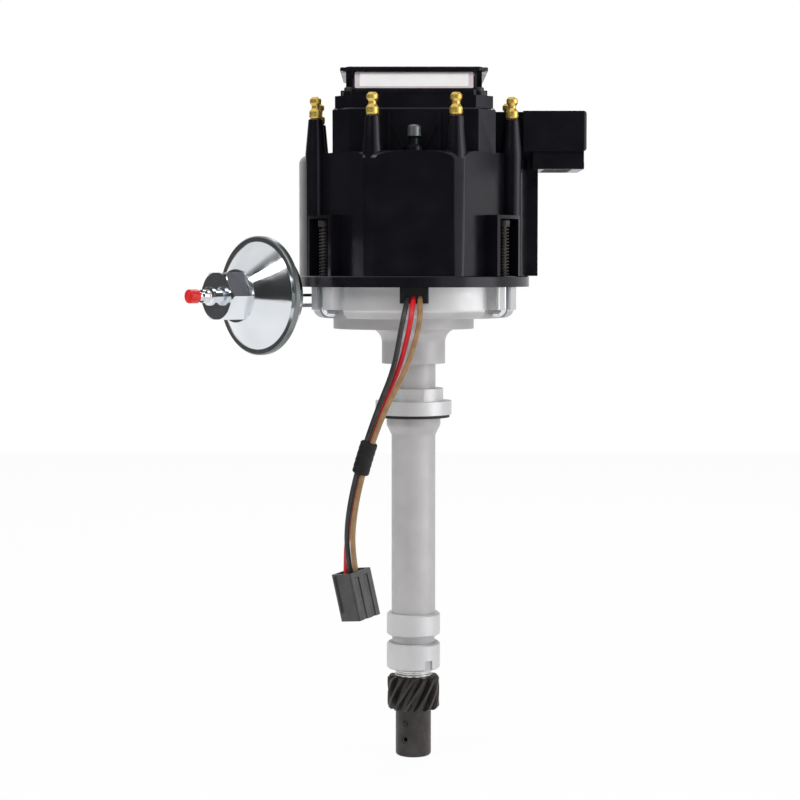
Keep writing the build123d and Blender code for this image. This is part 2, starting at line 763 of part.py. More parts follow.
def connector_block():
    """The hood on the cap's side with the skirt round the sockets that face down."""
    half = block_width / 2
    tower_x = tower_r * math.cos(math.radians(180 / tower_count))
    inner_x = tower_x + tower_base_dia / 2 + block_tower_gap
    hood = block((inner_x, block_reach), (-half, half), (block_z, block_top_z))
    hood = fillet(hood.edges().group_by(Axis.X)[-1], 2.0)
    neck = block((well_size / 2 - 1, skirt_inner_x), (-block_neck / 2, block_neck / 2), (cap_top_z - 1, block_top_z))
    skirt = block((skirt_inner_x, block_reach - skirt_inset), (-half + skirt_inset, half - skirt_inset),
                  (skirt_z, block_z + 1))
    pedestal = block((cap_r - 3, cap_r + 5), (-half * 0.55, half * 0.55), (rim_z + cap_rim_height, block_z + 1))
    lip = block((block_reach - skirt_inset - 1, block_reach + 0.2), (-5, 5), (skirt_z + 1.5, skirt_z + 4.5))
    return hood + neck + skirt + pedestal + lip


def socket_holes():
    holes = []
    for centre, width in zip(socket_centres(), socket_widths):
        holes.append(block((socket_x - socket_depth / 2, socket_x + socket_depth / 2),
                           (centre - width / 2, centre + width / 2), (skirt_z - 1, socket_top_z)))
    return holes


def blade_places():
    """Each blade's middle in Y: one in a side socket, the rest spread in the wide one."""
    places = []
    for centre, width in zip(socket_centres(), socket_widths):
        if width > blade_width + blade_spacing:
            places += [centre - blade_spacing / 2, centre + blade_spacing / 2]
        else:
            places.append(centre)
    return places


def connector_blades():
    blades = []
    for y in blade_places():
        blade = block((socket_x - blade_width / 2, socket_x + blade_width / 2),
                      (y - blade_thick / 2, y + blade_thick / 2),
                      (socket_top_z - blade_length, socket_top_z + blade_root))
        blades.append(chamfer(blade.edges().filter_by(Axis.Y).group_by(Axis.Z)[0], blade_width / 4))
    return blades


def distributor_cap():
    body = cap_body()
    for azimuth in tower_azimuths():
        body += tower(azimuth)
    body += coil_well() + connector_block() + front_post()
    for rib in front_ribs():
        body += rib
    step = cap_inner_r - upper_inner_r
    inside = turned((0, rim_z - 1), (cap_inner_r, rim_z - 1), (cap_inner_r, band_top_z - step - 1),
                    (upper_inner_r, band_top_z - 1), (upper_inner_r, cap_ceiling_z - 3),
                    (upper_inner_r - 3, cap_ceiling_z), (0, cap_ceiling_z))
    body -= inside
    body -= well_hollow()
    body += disc(button_boss_dia / 2, button_boss_z, well_floor_z)
    body -= button_bore()
    for azimuth in latch_azimuths.values():
        body -= at_azimuth(latch_bore() + latch_channel(), azimuth)
    for hole in socket_holes():
        body -= hole
    for y in blade_places():
        body -= block((socket_x - blade_width / 2 - seat_fit, socket_x + blade_width / 2 + seat_fit),
                      (y - blade_thick / 2 - seat_fit, y + blade_thick / 2 + seat_fit),
                      (socket_top_z - 1, socket_top_z + blade_root))
    for azimuth in tower_azimuths():
        body -= terminal_seat(azimuth)
    for place in coil_screw_places():
        body += disc(4.2, well_floor_z - 1, core_z, place)
        body -= screw_hole(place, core_z + core_height, core_height + 5, 4.0)
    for place in cover_screw_places():
        body += disc(3.6, well_floor_z - 1, collar_top_z, place)
        body -= screw_hole(place, collar_top_z + cover_wall, cover_wall + 10, 3.0)
    return body


def terminal_seat(azimuth):
    """The hole in a tower and the recess in the wall for one terminal."""
    pin = disc(stem_pin_dia / 2 + seat_fit, pad_z + 2, tower_top_z + 1)
    half = pad_width / 2 + seat_fit
    recess = block((pad_inner_r - tower_r, stem_pin_dia / 2 + seat_fit), (-half, half),
                   (pad_z - seat_fit, pad_z + pad_height + seat_fit))
    return at_azimuth(Pos(tower_r, 0, 0) * (pin + recess), azimuth)


def button_bore():
    r = button_dia / 2 + seat_fit
    return disc(r, button_boss_z - 1, well_floor_z - 1.2)


def center_button():
    body = disc(button_dia / 2, blade_top_z, button_boss_z + 6)
    return fillet(body.edges().group_by(Axis.Z)[0], 1.0)


def button_spring():
    return ring(button_dia / 2 - 0.3, button_dia / 2 - 1.1, button_boss_z + 6, well_floor_z - 1.2)


# ---- Coil and cover ---------------------------------------------------------------
def coil_screw_places():
    x, y = core_size / 2 - 5, core_depth / 2 - 4.5
    return [(sx * x, sy * y) for sx in (-1, 1) for sy in (-1, 1)]


def coil_core():
    """The laminated frame of the coil: a window round the winding, on four bosses."""
    frame = block((-core_size / 2, core_size / 2), (-core_depth / 2, core_depth / 2),
                  (core_z, core_z + core_height))
    frame -= block((-core_size / 2 + 9.5, core_size / 2 - 9.5), (-core_depth / 2 + 8.5, core_depth / 2 - 8.5),
                   (core_z - 1, core_z + core_height + 1))
    for place in coil_screw_places():
        frame -= screw_hole(place, core_z + core_height, core_height + 1, 4.0)
    return frame


def coil_winding():
    """The potted winding that fills the core's window and stands on the well's floor."""
    half_x, half_y = core_size / 2 - 9.5 - seat_fit, core_depth / 2 - 8.5 - seat_fit
    body = block((-half_x, half_x), (-half_y, half_y), (well_floor_z + seal_thick, core_z + core_height + 6))
    return fillet(body.edges().filter_by(Axis.Z), 3.0)


def coil_screws():
    return [screw(place, core_z + core_height, core_height + 4, 7.4, 4.0) for place in coil_screw_places()]


def arc_seal():
    return ring(button_boss_dia / 2 + 4, button_dia / 2 + 1, well_floor_z, well_floor_z + seal_thick)


def cover_screw_places():
    half = well_collar_size / 2 - well_wall - 4.2
    return [(sx * half, sy * half) for sx in (-1, 1) for sy in (-1, 1)]


def coil_cover():
    """The stepped lid with its sloped front panel and the overhanging top plate."""
    step = square(cover_step_size, well_corner * 0.8, collar_top_z, cover_step_z)
    body = square(cover_body_size, well_corner * 0.6, cover_step_z - 1, cover_body_z + 0.5)
    top = square(cover_top_size, well_corner * 0.5, cover_body_z, cover_top_z)
    top = fillet(top.edges().group_by(Axis.Z)[-1], 0.7)
    body += panel_wedge()
    inner = cover_body_size - 2 * cover_wall
    hollow = square(inner, well_corner * 0.5, collar_top_z - 1, cover_body_z - cover_wall)
    cover = step + body + top - hollow
    for place in cover_screw_places():
        cover += disc(4.0, collar_top_z, collar_top_z + cover_wall, place)
        cover -= disc(4.0, collar_top_z + cover_wall, cover_top_z + 1, place)
        cover -= disc(1.5 + seat_fit, collar_top_z - 1, cover_top_z, place)
    return cover


def panel_wedge():
    """The panel on the cover's front that slopes out toward its foot."""
    top_y, foot_y = -cover_body_size / 2, -cover_step_size / 2
    half = cover_body_size / 2 - 4
    outline = make_face(Polyline((0, top_y + 2, cover_step_z), (0, foot_y, cover_step_z),
                                 (0, top_y, cover_body_z), (0, top_y + 2, cover_body_z), close=True))
    return Pos(-half, 0, 0) * extrude(outline, half * 2, dir=(1, 0, 0))


def label_plate():
    """A bare plate on the sloped panel."""
    foot = Vector(0, -cover_step_size / 2, cover_step_z)
    top = Vector(0, -cover_body_size / 2, cover_body_z)
    slope = (top - foot).normalized()
    face = Plane(origin=(foot + top) / 2, x_dir=(1, 0, 0), z_dir=Vector(1, 0, 0).cross(slope))
    plate = extrude(RectangleRounded(label_width, label_height, 0.8), label_thick)
    return face.location * plate


def cover_screws():
    return [screw(place, collar_top_z + cover_wall, cover_wall + 8, 6.4, 3.0)
            for place in cover_screw_places()]


# ---- Shaft, gear and advance mechanism ------------------------------------------------
def mainshaft():
    """The shaft, slotted below for the oil pump's rod, with a groove at its top."""
    top = cam_z + weight_thick + 2.2
    body = disc(shaft_r, hub_bottom_z + 0.8, top)
    body = chamfer(body.edges().group_by(Axis.Z)[-1], 0.6)
    slot = block((-pump_slot_width / 2, pump_slot_width / 2), (-shaft_dia, shaft_dia),
                 (hub_bottom_z - 1, hub_bottom_z + pump_slot_depth))
    return body - at_azimuth(slot, hub_mark_azimuth) - roll_pin_hole()


def roll_pin_hole():
    z = gear_bottom_z - roll_pin_drop
    hole = Pos(0, 0, z) * Rot(0, 90, 0) * Cylinder(roll_pin_dia / 2 + seat_fit, hub_dia * 2)
    return at_azimuth(hole, hub_mark_azimuth)


def gear_outline():
    """The tooth outline across the shaft, as one closed wire."""
    tip, root = gear_dia / 2, gear_dia / 2 - tooth_depth
    pitch = 360 / gear_teeth
    edges = []
    for number in range(gear_teeth):
        start, nose = (number - 0.28) * pitch, (number - 0.13) * pitch
        back, end, gap = (number + 0.13) * pitch, (number + 0.28) * pitch, (number + 0.5) * pitch
        following = (number + 0.72) * pitch
        edges.append(Line(polar(root, start), polar(tip, nose)))
        edges.append(ThreePointArc(polar(tip, nose), polar(tip, number * pitch), polar(tip, back)))
        edges.append(Line(polar(tip, back), polar(root, end)))
        edges.append(ThreePointArc(polar(root, end), polar(root, gap), polar(root, following)))
    return Wire(edges)


def drive_gear():
    """The helical gear: a twisted extrusion, turned down at its ends, on its hub."""
    twist = math.degrees(gear_length * math.tan(math.radians(helix_angle)) / (gear_dia / 2))
    teeth = Solid.extrude_linear_with_rotation(gear_outline(), (0, 0, 0), (0, 0, gear_length), twist)
    r, cut, limit = gear_dia / 2, tooth_chamfer, gear_dia / 2 + 0.5
    barrel = turned((0, 0), (r - cut, 0), (limit, cut + 0.5), (limit, gear_length - cut - 0.5),
                    (r - cut, gear_length), (0, gear_length))
    body = Pos(0, 0, gear_bottom_z) * (barrel.solid() & teeth)
    hub = disc(hub_dia / 2, hub_bottom_z, gear_bottom_z)
    hub = fillet(hub.edges().group_by(Axis.Z)[0], hub_round)
    body += hub
    body -= disc(shaft_r + seat_fit, hub_bottom_z - 1, gear_top_z + 1)
    mark_x, mark_y = polar(hub_dia / 2 + 0.6, hub_mark_azimuth)
    mark = Pos(mark_x, mark_y, gear_bottom_z - roll_pin_drop + 9.5) * Sphere(2.0)
    return body - roll_pin_hole() - mark


def gear_roll_pin():
    z = gear_bottom_z - roll_pin_drop
    pin = Rot(0, 90, 0) * (Cylinder(roll_pin_dia / 2, hub_dia - 1.2) - Cylinder(roll_pin_dia / 2 - 1.1, hub_dia))
    return at_azimuth(Pos(0, 0, z) * pin, hub_mark_azimuth)


def thrust_washers():
    each = thrust_stack / thrust_washer_count
    return [ring(thrust_washer_dia / 2 - 0.6 * (number % 2), shaft_r + seat_fit,
                 gear_top_z + number * each, gear_top_z + (number + 1) * each)
            for number in range(thrust_washer_count)]


def center_cam():
    """The two-lobed cam on the shaft's top, between the weights."""
    lobes = disc(cam_dia / 2, cam_z, cam_z + weight_thick)
    waist = cam_waist / 2
    for side in (-1, 1):
        lobes -= block((-cam_dia, cam_dia), sorted((side * waist, side * cam_dia)),
                       (cam_z - 1, cam_z + weight_thick + 1))
    lobes = at_azimuth(fillet(lobes.edges().filter_by(Axis.Z), 2.5), rotor_post_azimuth)
    for place in cam_post_places():
        lobes += disc(spring_post_dia / 2, cam_z + 1, spring_z + 1.4, place)
    return lobes - disc(shaft_r + seat_fit, cam_z - 1, cam_z + weight_thick + 1)


def cam_post_places():
    return [polar(cam_post_r, rotor_post_azimuth + turn) for turn in (0, 180)]


def base_post_places():
    return [polar(weight_pivot_r() + 1, rotor_post_azimuth + 13 + turn) for turn in (0, 180)]


def advance_springs():
    """The two small springs from the cam's posts to the plate's posts."""
    springs = []
    for inner, outer in zip(cam_post_places(), base_post_places()):
        start, end = Vector(*inner, spring_z), Vector(*outer, spring_z)
        along = end - start
        gap = spring_post_dia / 2 + side_gap
        coil = extrude(Circle(spring_dia / 2) - Circle(spring_dia / 2 - 0.6), along.length - 2 * gap)
        springs.append(Plane(origin=start + along.normalized() * gap, z_dir=along).location * coil)
    return springs


def timer_core():
    """The eight-toothed iron core on its sleeve, which turns on the shaft's top."""
    tip, root = core_dia / 2, core_dia / 2 - core_tooth_depth
    sleeve = disc(shaft_r + run_fit + sleeve_wall, core_bottom_z, base_plate_z + base_plate_thick)
    star = disc(root, core_mid_z, core_mid_z + core_star_height)
    for number in range(core_teeth):
        tooth = block((root - 2, tip), (-core_tooth_width / 2, core_tooth_width / 2),
                      (core_mid_z, core_mid_z + core_star_height))
        star += at_azimuth(tooth, number * 360 / core_teeth)
    return sleeve + star - disc(shaft_r + run_fit, core_bottom_z - 1, base_top_z + 1)


def weight_azimuths():
    return {"a": 0.0, "b": 180.0}


def weight_pivot_r():
    return weight_inner_dia / 2 + weight_width / 2


def advance_base():
    """The plate that carries the weights' pins, the spring posts and the rotor's posts."""
    plate = disc(base_plate_dia / 2, base_plate_z, base_top_z)
    plate -= disc(shaft_r + run_fit + sleeve_wall + seat_fit, base_plate_z - 1, base_top_z + 1)
    for azimuth in weight_azimuths().values():
        pin = disc(weight_pin_dia / 2, base_top_z - 0.5, weight_z + weight_thick + 1.4, (weight_pivot_r(), 0))
        post_place = polar(rotor_post_r, rotor_post_azimuth)
        post = disc(rotor_post_dia / 2, base_top_z - 0.5, rotor_z, post_place)
        post -= screw_hole(post_place, rotor_top_z, rotor_post_height + rotor_thick - 1.5, 3.5)
        plate += at_azimuth(pin + post, azimuth)
    for place in base_post_places():
        plate += disc(spring_post_dia / 2, base_top_z - 0.5, spring_z + 1.4, place)
    return plate


def advance_weight(azimuth):
    """A crescent weight with rounded ends, drilled for its pin."""
    mid, half = weight_pivot_r(), weight_width / 2
    low, high = weight_z, weight_z + weight_thick
    body = arc_block(mid, weight_width, weight_sweep / 2, weight_sweep, low, high)
    body += disc(half, low, high, (mid, 0)) + disc(half, low, high, polar(mid, weight_sweep))
    body -= disc(weight_pin_dia / 2 + run_fit, low - 1, high + 1, (mid, 0))
    return at_azimuth(body, azimuth)


# ---- Rotor ------------------------------------------------------------------------
def rotor_screw_places():
    return [polar(rotor_post_r, rotor_post_azimuth + turn) for turn in (0, 180)]


def rotor():
    """The moulded rotor: a webbed disc, a hub and the arm that carries the blade."""
    body = disc(rotor_dia / 2, rotor_z, rotor_top_z)
    body = fillet(body.edges().group_by(Axis.Z)[-1], 1.0)
    hub = turned((0, rotor_top_z - 1), (17, rotor_top_z - 1), (11, arm_top_z), (0, arm_top_z))
    arm = block((0, rotor_tip_r - 4), (-rotor_arm_width / 2, rotor_arm_width / 2), (rotor_z, arm_top_z))
    arm = fillet(arm.edges().filter_by(Axis.Z).group_by(Axis.X)[-1], 3.0)
    body += hub + at_azimuth(arm, rotor_azimuth)
    for place in rotor_screw_places():
        body -= screw_hole(place, rotor_top_z, rotor_thick + 1, 3.5)
        body -= disc(4.2, rotor_top_z, arm_top_z + 1, place)
    recess = disc(cam_dia / 2 + 2, rotor_z - 1, rotor_z + rotor_thick * 0.6)
    return body - recess


def rotor_blade():
    """The brass blade on the arm, from the centre button to its tip."""
    half = rotor_blade_width / 2
    strip = block((0, rotor_tip_r), (-half, half), (arm_top_z, blade_top_z))
    body = strip & disc(rotor_tip_r, arm_top_z - 1, blade_top_z + 1)
    return at_azimuth(body + disc(half, arm_top_z, blade_top_z), rotor_azimuth)


def rotor_screws():
    return [screw(place, rotor_top_z, rotor_thick + rotor_post_height - 3, 6.4, 3.5)
            for place in rotor_screw_places()]


# ---- Pickup -------------------------------------------------------------------------
def rod_pin_place():
    """The pull-rod's pin at rest, half the plate's swing before the rod's own line."""
    return polar(rod_radius, vacuum_azimuth - 90 - rod_swing / 2)


def pickup_plate():
    """The turning plate on the bowl's tower, with the pin for the pull rod."""
    plate = ring(plate_dia / 2, pivot_r + run_fit, plate_z + 0.05, plate_top_z)
    pin = disc(rod_pin_dia / 2, plate_top_z - 0.5, rod_z + rod_thick / 2 + 1.2, rod_pin_place())
    for number in range(3):
        x, y = polar(plate_dia / 2 - 4.5, vacuum_azimuth + 40 + number * 90)
        plate -= disc(2.2, plate_z - 1, plate_top_z + 1, (x, y))
    return plate + pin


def pickup_magnet():
    outer = magnet_dia / 2
    return ring(outer, outer - magnet_wall, plate_top_z, pole_z)


def pickup_coil():
    """The wound bobbin inside the magnet, with its two flanges."""
    outer = magnet_dia / 2 - magnet_wall - 0.2
    inner = outer - coil_wall
    height = magnet_height
    return turned((inner, plate_top_z), (outer, plate_top_z), (outer, plate_top_z + 0.9),
                  (outer - 0.8, plate_top_z + 0.9), (outer - 0.8, plate_top_z + height - 0.9),
                  (outer, plate_top_z + height - 0.9), (outer, plate_top_z + height),
                  (inner, plate_top_z + height))


def pole_piece():
    """The iron ring on the magnet, with one upturned tooth for each cylinder."""
    inner = core_dia / 2 + pole_gap
    body = ring(magnet_dia / 2, inner, pole_z, pole_z + pole_thick)
    for number in range(core_teeth):
        tooth = block((inner, inner + pole_tooth_thick), (-pole_tooth_width / 2, pole_tooth_width / 2),
                      (pole_z, pole_z + pole_thick + pole_tooth_height))
        tooth &= ring(magnet_dia / 2, inner + 0.3, pole_z - 1, pole_z + pole_thick + pole_tooth_height + 1)
        body += at_azimuth(tooth, (number + 0.5) * 360 / core_teeth)
    return body


# ---- Vacuum advance --------------------------------------------------------------------
def pull_rod():
    """The flat rod from the plate's pin through the rear shell to the diaphragm."""
    start = -rim_distance - rod_reach
    rod = block((-rod_width / 2, rod_width / 2), (-rod_thick / 2, rod_thick / 2),
                (start, diaphragm_rest - sheet))
    eye = Pos(0, 0, start) * Rot(90, 0, 0) * (Cylinder(rod_pin_dia / 2 + 2.2, rod_thick))
    hole = Pos(0, 0, start) * Rot(90, 0, 0) * Cylinder(rod_pin_dia / 2 + side_gap, rod_thick + 2)
    return canister * (rod + eye - hole)


def diaphragm_plate():
    """The cup that backs the diaphragm and carries the pull rod."""
    r = diaphragm_plate_dia / 2
    body = turned((0, -sheet), (r, -sheet), (r, 1.6), (r - sheet, 1.6), (r - sheet, 0), (0, 0))
    return canister * Pos(0, 0, diaphragm_rest) * body


def diaphragm():
    """The rubber ring between the shells' rims and the plate."""
    plate_r, rim_r = diaphragm_plate_dia / 2 + side_gap, rim_dia / 2 - sheet - 0.4
    bead_r = rim_r - 6.0
    low, high = diaphragm_rest - 0.4, diaphragm_rest + 0.4
    outline = [(plate_r, low), (bead_r - 3, low), (bead_r, 0), (rim_r, 0), (rim_r, 0.8), (bead_r, 0.8),
               (bead_r - 3, high), (plate_r, high)]
    return canister * turned(*outline)


def vacuum_spring():
    r = hex_bore_dia / 2 - 0.8
    return canister * ring(r, r - 1.2, diaphragm_rest + 0.3, hex_end - hex_end_wall)


def front_shell():
    """The canister's nipple side: crimped rim, cone, hexagon and hollow nipple."""
    rim_r, small_r = rim_dia / 2, cone_small_dia / 2
    cone_low, cone_top = 0.8 + sheet, 0.8 + sheet + cone_height
    shell = turned(
        (rim_r - 3.0, -sheet - 1.0), (rim_r - 0.7, -sheet - 1.0), (rim_r, -sheet - 0.3), (rim_r, cone_low - 0.7),
        (rim_r - 0.7, cone_low), (rim_r - 3.2, cone_low), (small_r, cone_top), (small_r, cone_top + 1.4),
        (hex_bore_dia / 2, cone_top + 1.4), (hex_bore_dia / 2, cone_top - 0.4), (rim_r - 4.6, 0.8),
        (rim_r - sheet, 0.8), (rim_r - sheet, -sheet), (rim_r - 3.0, -sheet))
    hexagon = extrude(RegularPolygon(hex_across / 2, 6, major_radius=False, rotation=30), hex_length)
    hexagon = Pos(0, 0, cone_top) * hexagon
    point_r = hex_across / 2 / math.cos(math.radians(30))
    turned_ends = turned((0, cone_top), (point_r + 1, cone_top), (point_r + 1, hex_end - 1.9),
                         (point_r - 1.9, hex_end), (0, hex_end))
    hexagon = hexagon & turned_ends
    hexagon -= disc(hex_bore_dia / 2, cone_top - 1, hex_end - hex_end_wall)
    nipple_r, bead_r = nipple_dia / 2, nipple_bead_dia / 2
    end = hex_end + nipple_length
    nipple = turned((0, hex_end - 0.5), (nipple_r, hex_end - 0.5), (nipple_r, hex_end + 3.0),
                    (bead_r, hex_end + 3.6), (bead_r, hex_end + 5.4), (nipple_r, hex_end + 6.0),
                    (nipple_r, end), (nipple_tip_r, end), (nipple_tip_r, end + port_cap_length - 4.0),
                    (0, end + port_cap_length - 4.0))
    bore = disc(nipple_bore_dia / 2, hex_end - hex_end_wall - 1, end + port_cap_length)
    return canister * (shell + hexagon + nipple - bore)


def rear_shell():
    """The canister's engine side: a dished sheet clamped in the front shell's rim."""
    rim_r, flat_r = rim_dia / 2 - sheet - seat_fit, rear_dia / 2
    shell = turned((rod_hole_r, -rear_depth), (flat_r, -rear_depth), (rim_r - 5.0, -sheet),
                   (rim_r, -sheet), (rim_r, 0), (rim_r - 4.6, 0), (flat_r - 0.6, -rear_depth + sheet),
                   (rod_hole_r, -rear_depth + sheet))
    return canister * shell


def vacuum_bracket():
    """The arm from the canister's back through the bowl's wall to two floor bosses."""
    half = bracket_width / 2
    low, high = bracket_z - rod_z, bracket_z - rod_z + bracket_thick
    end = rim_distance - math.sqrt(bracket_tab_r ** 2 - rod_offset ** 2)
    arm = block((-half, half), (low, high), (-end, -rear_depth - bracket_thick / 2))
    upright = block((-half, half), (low, rear_dia / 2 * 0.6), (-rear_depth - bracket_thick, -rear_depth))
    upright -= Pos(0, 0, -rear_depth) * Cylinder(rod_hole_r, bracket_thick * 3)
    body = canister * (arm + upright)
    body -= disc(bracket_tab_r, bracket_z - 1, bracket_z + bracket_thick + 1)
    body += arc_block(bracket_tab_r, bracket_tab_width, bracket_azimuth(), bracket_tab_sweep,
                      bracket_z, bracket_z + bracket_thick)
    for side in (-1, 1):
        body -= screw_hole(bracket_screw_place(side), bracket_z + bracket_thick, 5, 3.5)
    return body


def port_cap():
    """The rubber cap pushed over the nipple's end."""
    r, start = port_cap_dia / 2, hex_end + nipple_length
    body = Pos(0, 0, start) * Cylinder(r, port_cap_length, align=(Align.CENTER, Align.CENTER, Align.MIN))
    body = fillet(body.edges().group_by(Axis.Z)[-1], 1.2)
    return canister * (body - disc(nipple_tip_r + seat_fit, start - 1, start + port_cap_length - 3.8))


# ---- Latches ----------------------------------------------------------------------------
def latch_washer(azimuth):
    r = latch_head_dia / 2 - 0.1
    return at_azimuth(ring(r, latch_rod_dia / 2 + run_fit, washer_z, latch_head_z, (latch_r, 0)), azimuth)


def latch_rod(azimuth):
    """The latch: slotted head, and a rod that bends to a foot that points at the shaft."""
    rod_r, head_z = latch_rod_dia / 2, latch_head_z + 0.05
    foot_z = lug_z - side_gap - rod_r
    bend_z = foot_z + hook_bend
    head = disc(latch_head_dia / 2, head_z, head_z + latch_head_thick, (latch_r, 0))
    head = chamfer(head.edges().group_by(Axis.Z)[-1], 0.8)
    head -= block((latch_r - 0.6, latch_r + 0.6), (-latch_head_dia, latch_head_dia),
                  (head_z + latch_head_thick * 0.5, head_z + latch_head_thick + 1))
    line = Line((latch_r, 0, head_z + 0.5), (latch_r, 0, bend_z))
    corner = (latch_r - hook_bend, bend_z)
    middle = hook_bend * math.sqrt(0.5)
    bend = ThreePointArc(line @ 1, (corner[0] + middle, 0, corner[1] - middle), (corner[0], 0, foot_z))
    foot = Line(bend @ 1, (latch_r - hook_reach + rod_r, 0, foot_z))
    rod = sweep(Plane(origin=line @ 0, z_dir=(0, 0, -1)) * Circle(rod_r), Wire([line, bend, foot]))
    nose = Pos(latch_r - hook_reach + rod_r, 0, foot_z) * Sphere(rod_r)
    return at_azimuth(head + rod + nose, azimuth)


def latch_spring(azimuth):
    """The spring round the rod, between the rim band and the washer."""
    r = latch_spring_dia / 2
    return at_azimuth(ring(r, r - latch_spring_wire, band_top_z, washer_z, (latch_r, 0)), azimuth)


# ---- Harness ----------------------------------------------------------------------------
def arc_radii(points):
    """The radius of each corner: as large as the shorter run beside it allows."""
    radii = []
    for before, corner, after in zip(points, points[1:], points[2:]):
        into, out = Vector(*corner) - Vector(*before), Vector(*after) - Vector(*corner)
        half_turn = math.radians(into.get_angle(out)) / 2
        radii.append(0.45 * min(into.length, out.length) / math.tan(half_turn))
    return radii


def wire(points):
    path = FilletPolyline(*points, radius=arc_radii(points))
    section = Plane(origin=path @ 0, z_dir=path % 0) * Circle(wire_dia / 2)
    return sweep(section, path), path.length


def harness_wire(name):
    """One wire, cut square at the grommet's face and at the floor of the plug's mouth."""
    tube, length = wire(wire_routes[name])
    print(name, "wire, radii", [round(radius, 1) for radius in arc_radii(wire_routes[name])])
    print(name, "length", round(length, 1), "volume", round(tube.volume, 1),
          "section x length", round(math.pi * wire_dia ** 2 / 4 * length, 1))
    inside_grommet = block((-grommet_width, grommet_width), (-grommet_face, 0), (0, rim_z + 5))
    below = plug_place * block((-plug_width, plug_width), (-plug_depth, plug_depth), (-plug_height, -plug_recess))
    return tube - inside_grommet - below


def harness_grommet():
    """The rubber block in the bowl's notch, with a flange inside the wall."""
    half = grommet_width / 2
    low = rim_z - grommet_height + seat_fit
    body = block((-half, half), (-grommet_face, -bowl_inner_r + 3.0), (low, rim_z))
    flange = block((-half - grommet_flange, half + grommet_flange), (-bowl_inner_r + 1.6, -bowl_inner_r + 3.0),
                   (low, rim_z))
    return fillet(body.edges().filter_by(Axis.Z).group_by(Axis.Y)[0], 1.0) + flange


def wire_sleeve(wires):
    """The tape sleeve: an oval that follows the wires between two heights."""
    low, high = [sum((point_at(name, z) for name in wire_routes), Vector()) / 3
                 for z in (sleeve_top - sleeve_length, sleeve_top)]
    along = high - low
    section = Plane(origin=low, x_dir=(1, -0.35, 0), z_dir=along)
    oval = extrude(Ellipse(wire_dia * 1.25 + sleeve_cover, wire_dia + sleeve_cover), along.length)
    body = section.location * oval
    for each in wires:
        body -= each
    return body


def point_at(name, z):
    """The place where a wire's route passes a height."""
    points = [Vector(*point) for point in wire_routes[name]]
    for upper, lower in zip(points, points[1:]):
        if lower.Z <= z <= upper.Z:
            return lower + (upper - lower) * ((z - lower.Z) / (upper.Z - lower.Z))
    return points[-1]


def plug_cavities():
    return [(number - 1) * plug_pitch for number in range(3)]


def harness_plug():
    """The plug: a box with a shallow mouth above, three cavities below and side ridges."""
    w, d, h = plug_width / 2, plug_depth / 2, plug_height
    body = block((-w, w), (-d, d), (-h, 0))
    body = fillet(body.edges().filter_by(Axis.Z), 1.0)
    body -= block((-w + plug_wall, w - plug_wall), (-d + plug_wall, d - plug_wall), (-plug_recess, 1))
    body -= block((-w + plug_wall, w - plug_wall), (-d + plug_wall, d - plug_wall), (-h - 1, -h + plug_socket))
    body += block((-w + 2, -w + 3.4), (-d - 1.0, -d + 0.5), (-h + 5, -1))
    body -= block((w - 0.8, w + 1), (-d + 3.5, -d + 6.0), (-h - 1, -3))
    body -= block((w - 0.8, w + 1), (d - 6.0, d - 3.5), (-h - 1, -3))
    for x in plug_cavities():
        body -= block((x - 1.5, x + 1.5), (-2.6, 2.6), (-h, -plug_recess - 3))
    return plug_place * body


def plug_terminals():
    """Three folded brass sockets, one in each cavity."""
    terminals = []
    for x in plug_cavities():
        box = block((x - 1.5 + seat_fit, x + 1.5 - seat_fit), (-2.6 + seat_fit, 2.6 - seat_fit),
                    (-plug_height + plug_socket, -plug_recess - 3))
        box -= block((x - 0.7, x + 0.7), (-1.9, 1.9), (-plug_height, -plug_recess - 6))
        terminals.append(plug_place * box)
    return terminals


# ---- Write every part ---------------------------------------------------------------------
def as_solids(shape):
    """One compound of the shape's solids, or of a list's."""
    pieces = shape if isinstance(shape, list) else [shape]
    solids = [solid for piece in pieces for solid in piece.solids()]
    return solids[0] if len(solids) == 1 else Compound(children=solids)


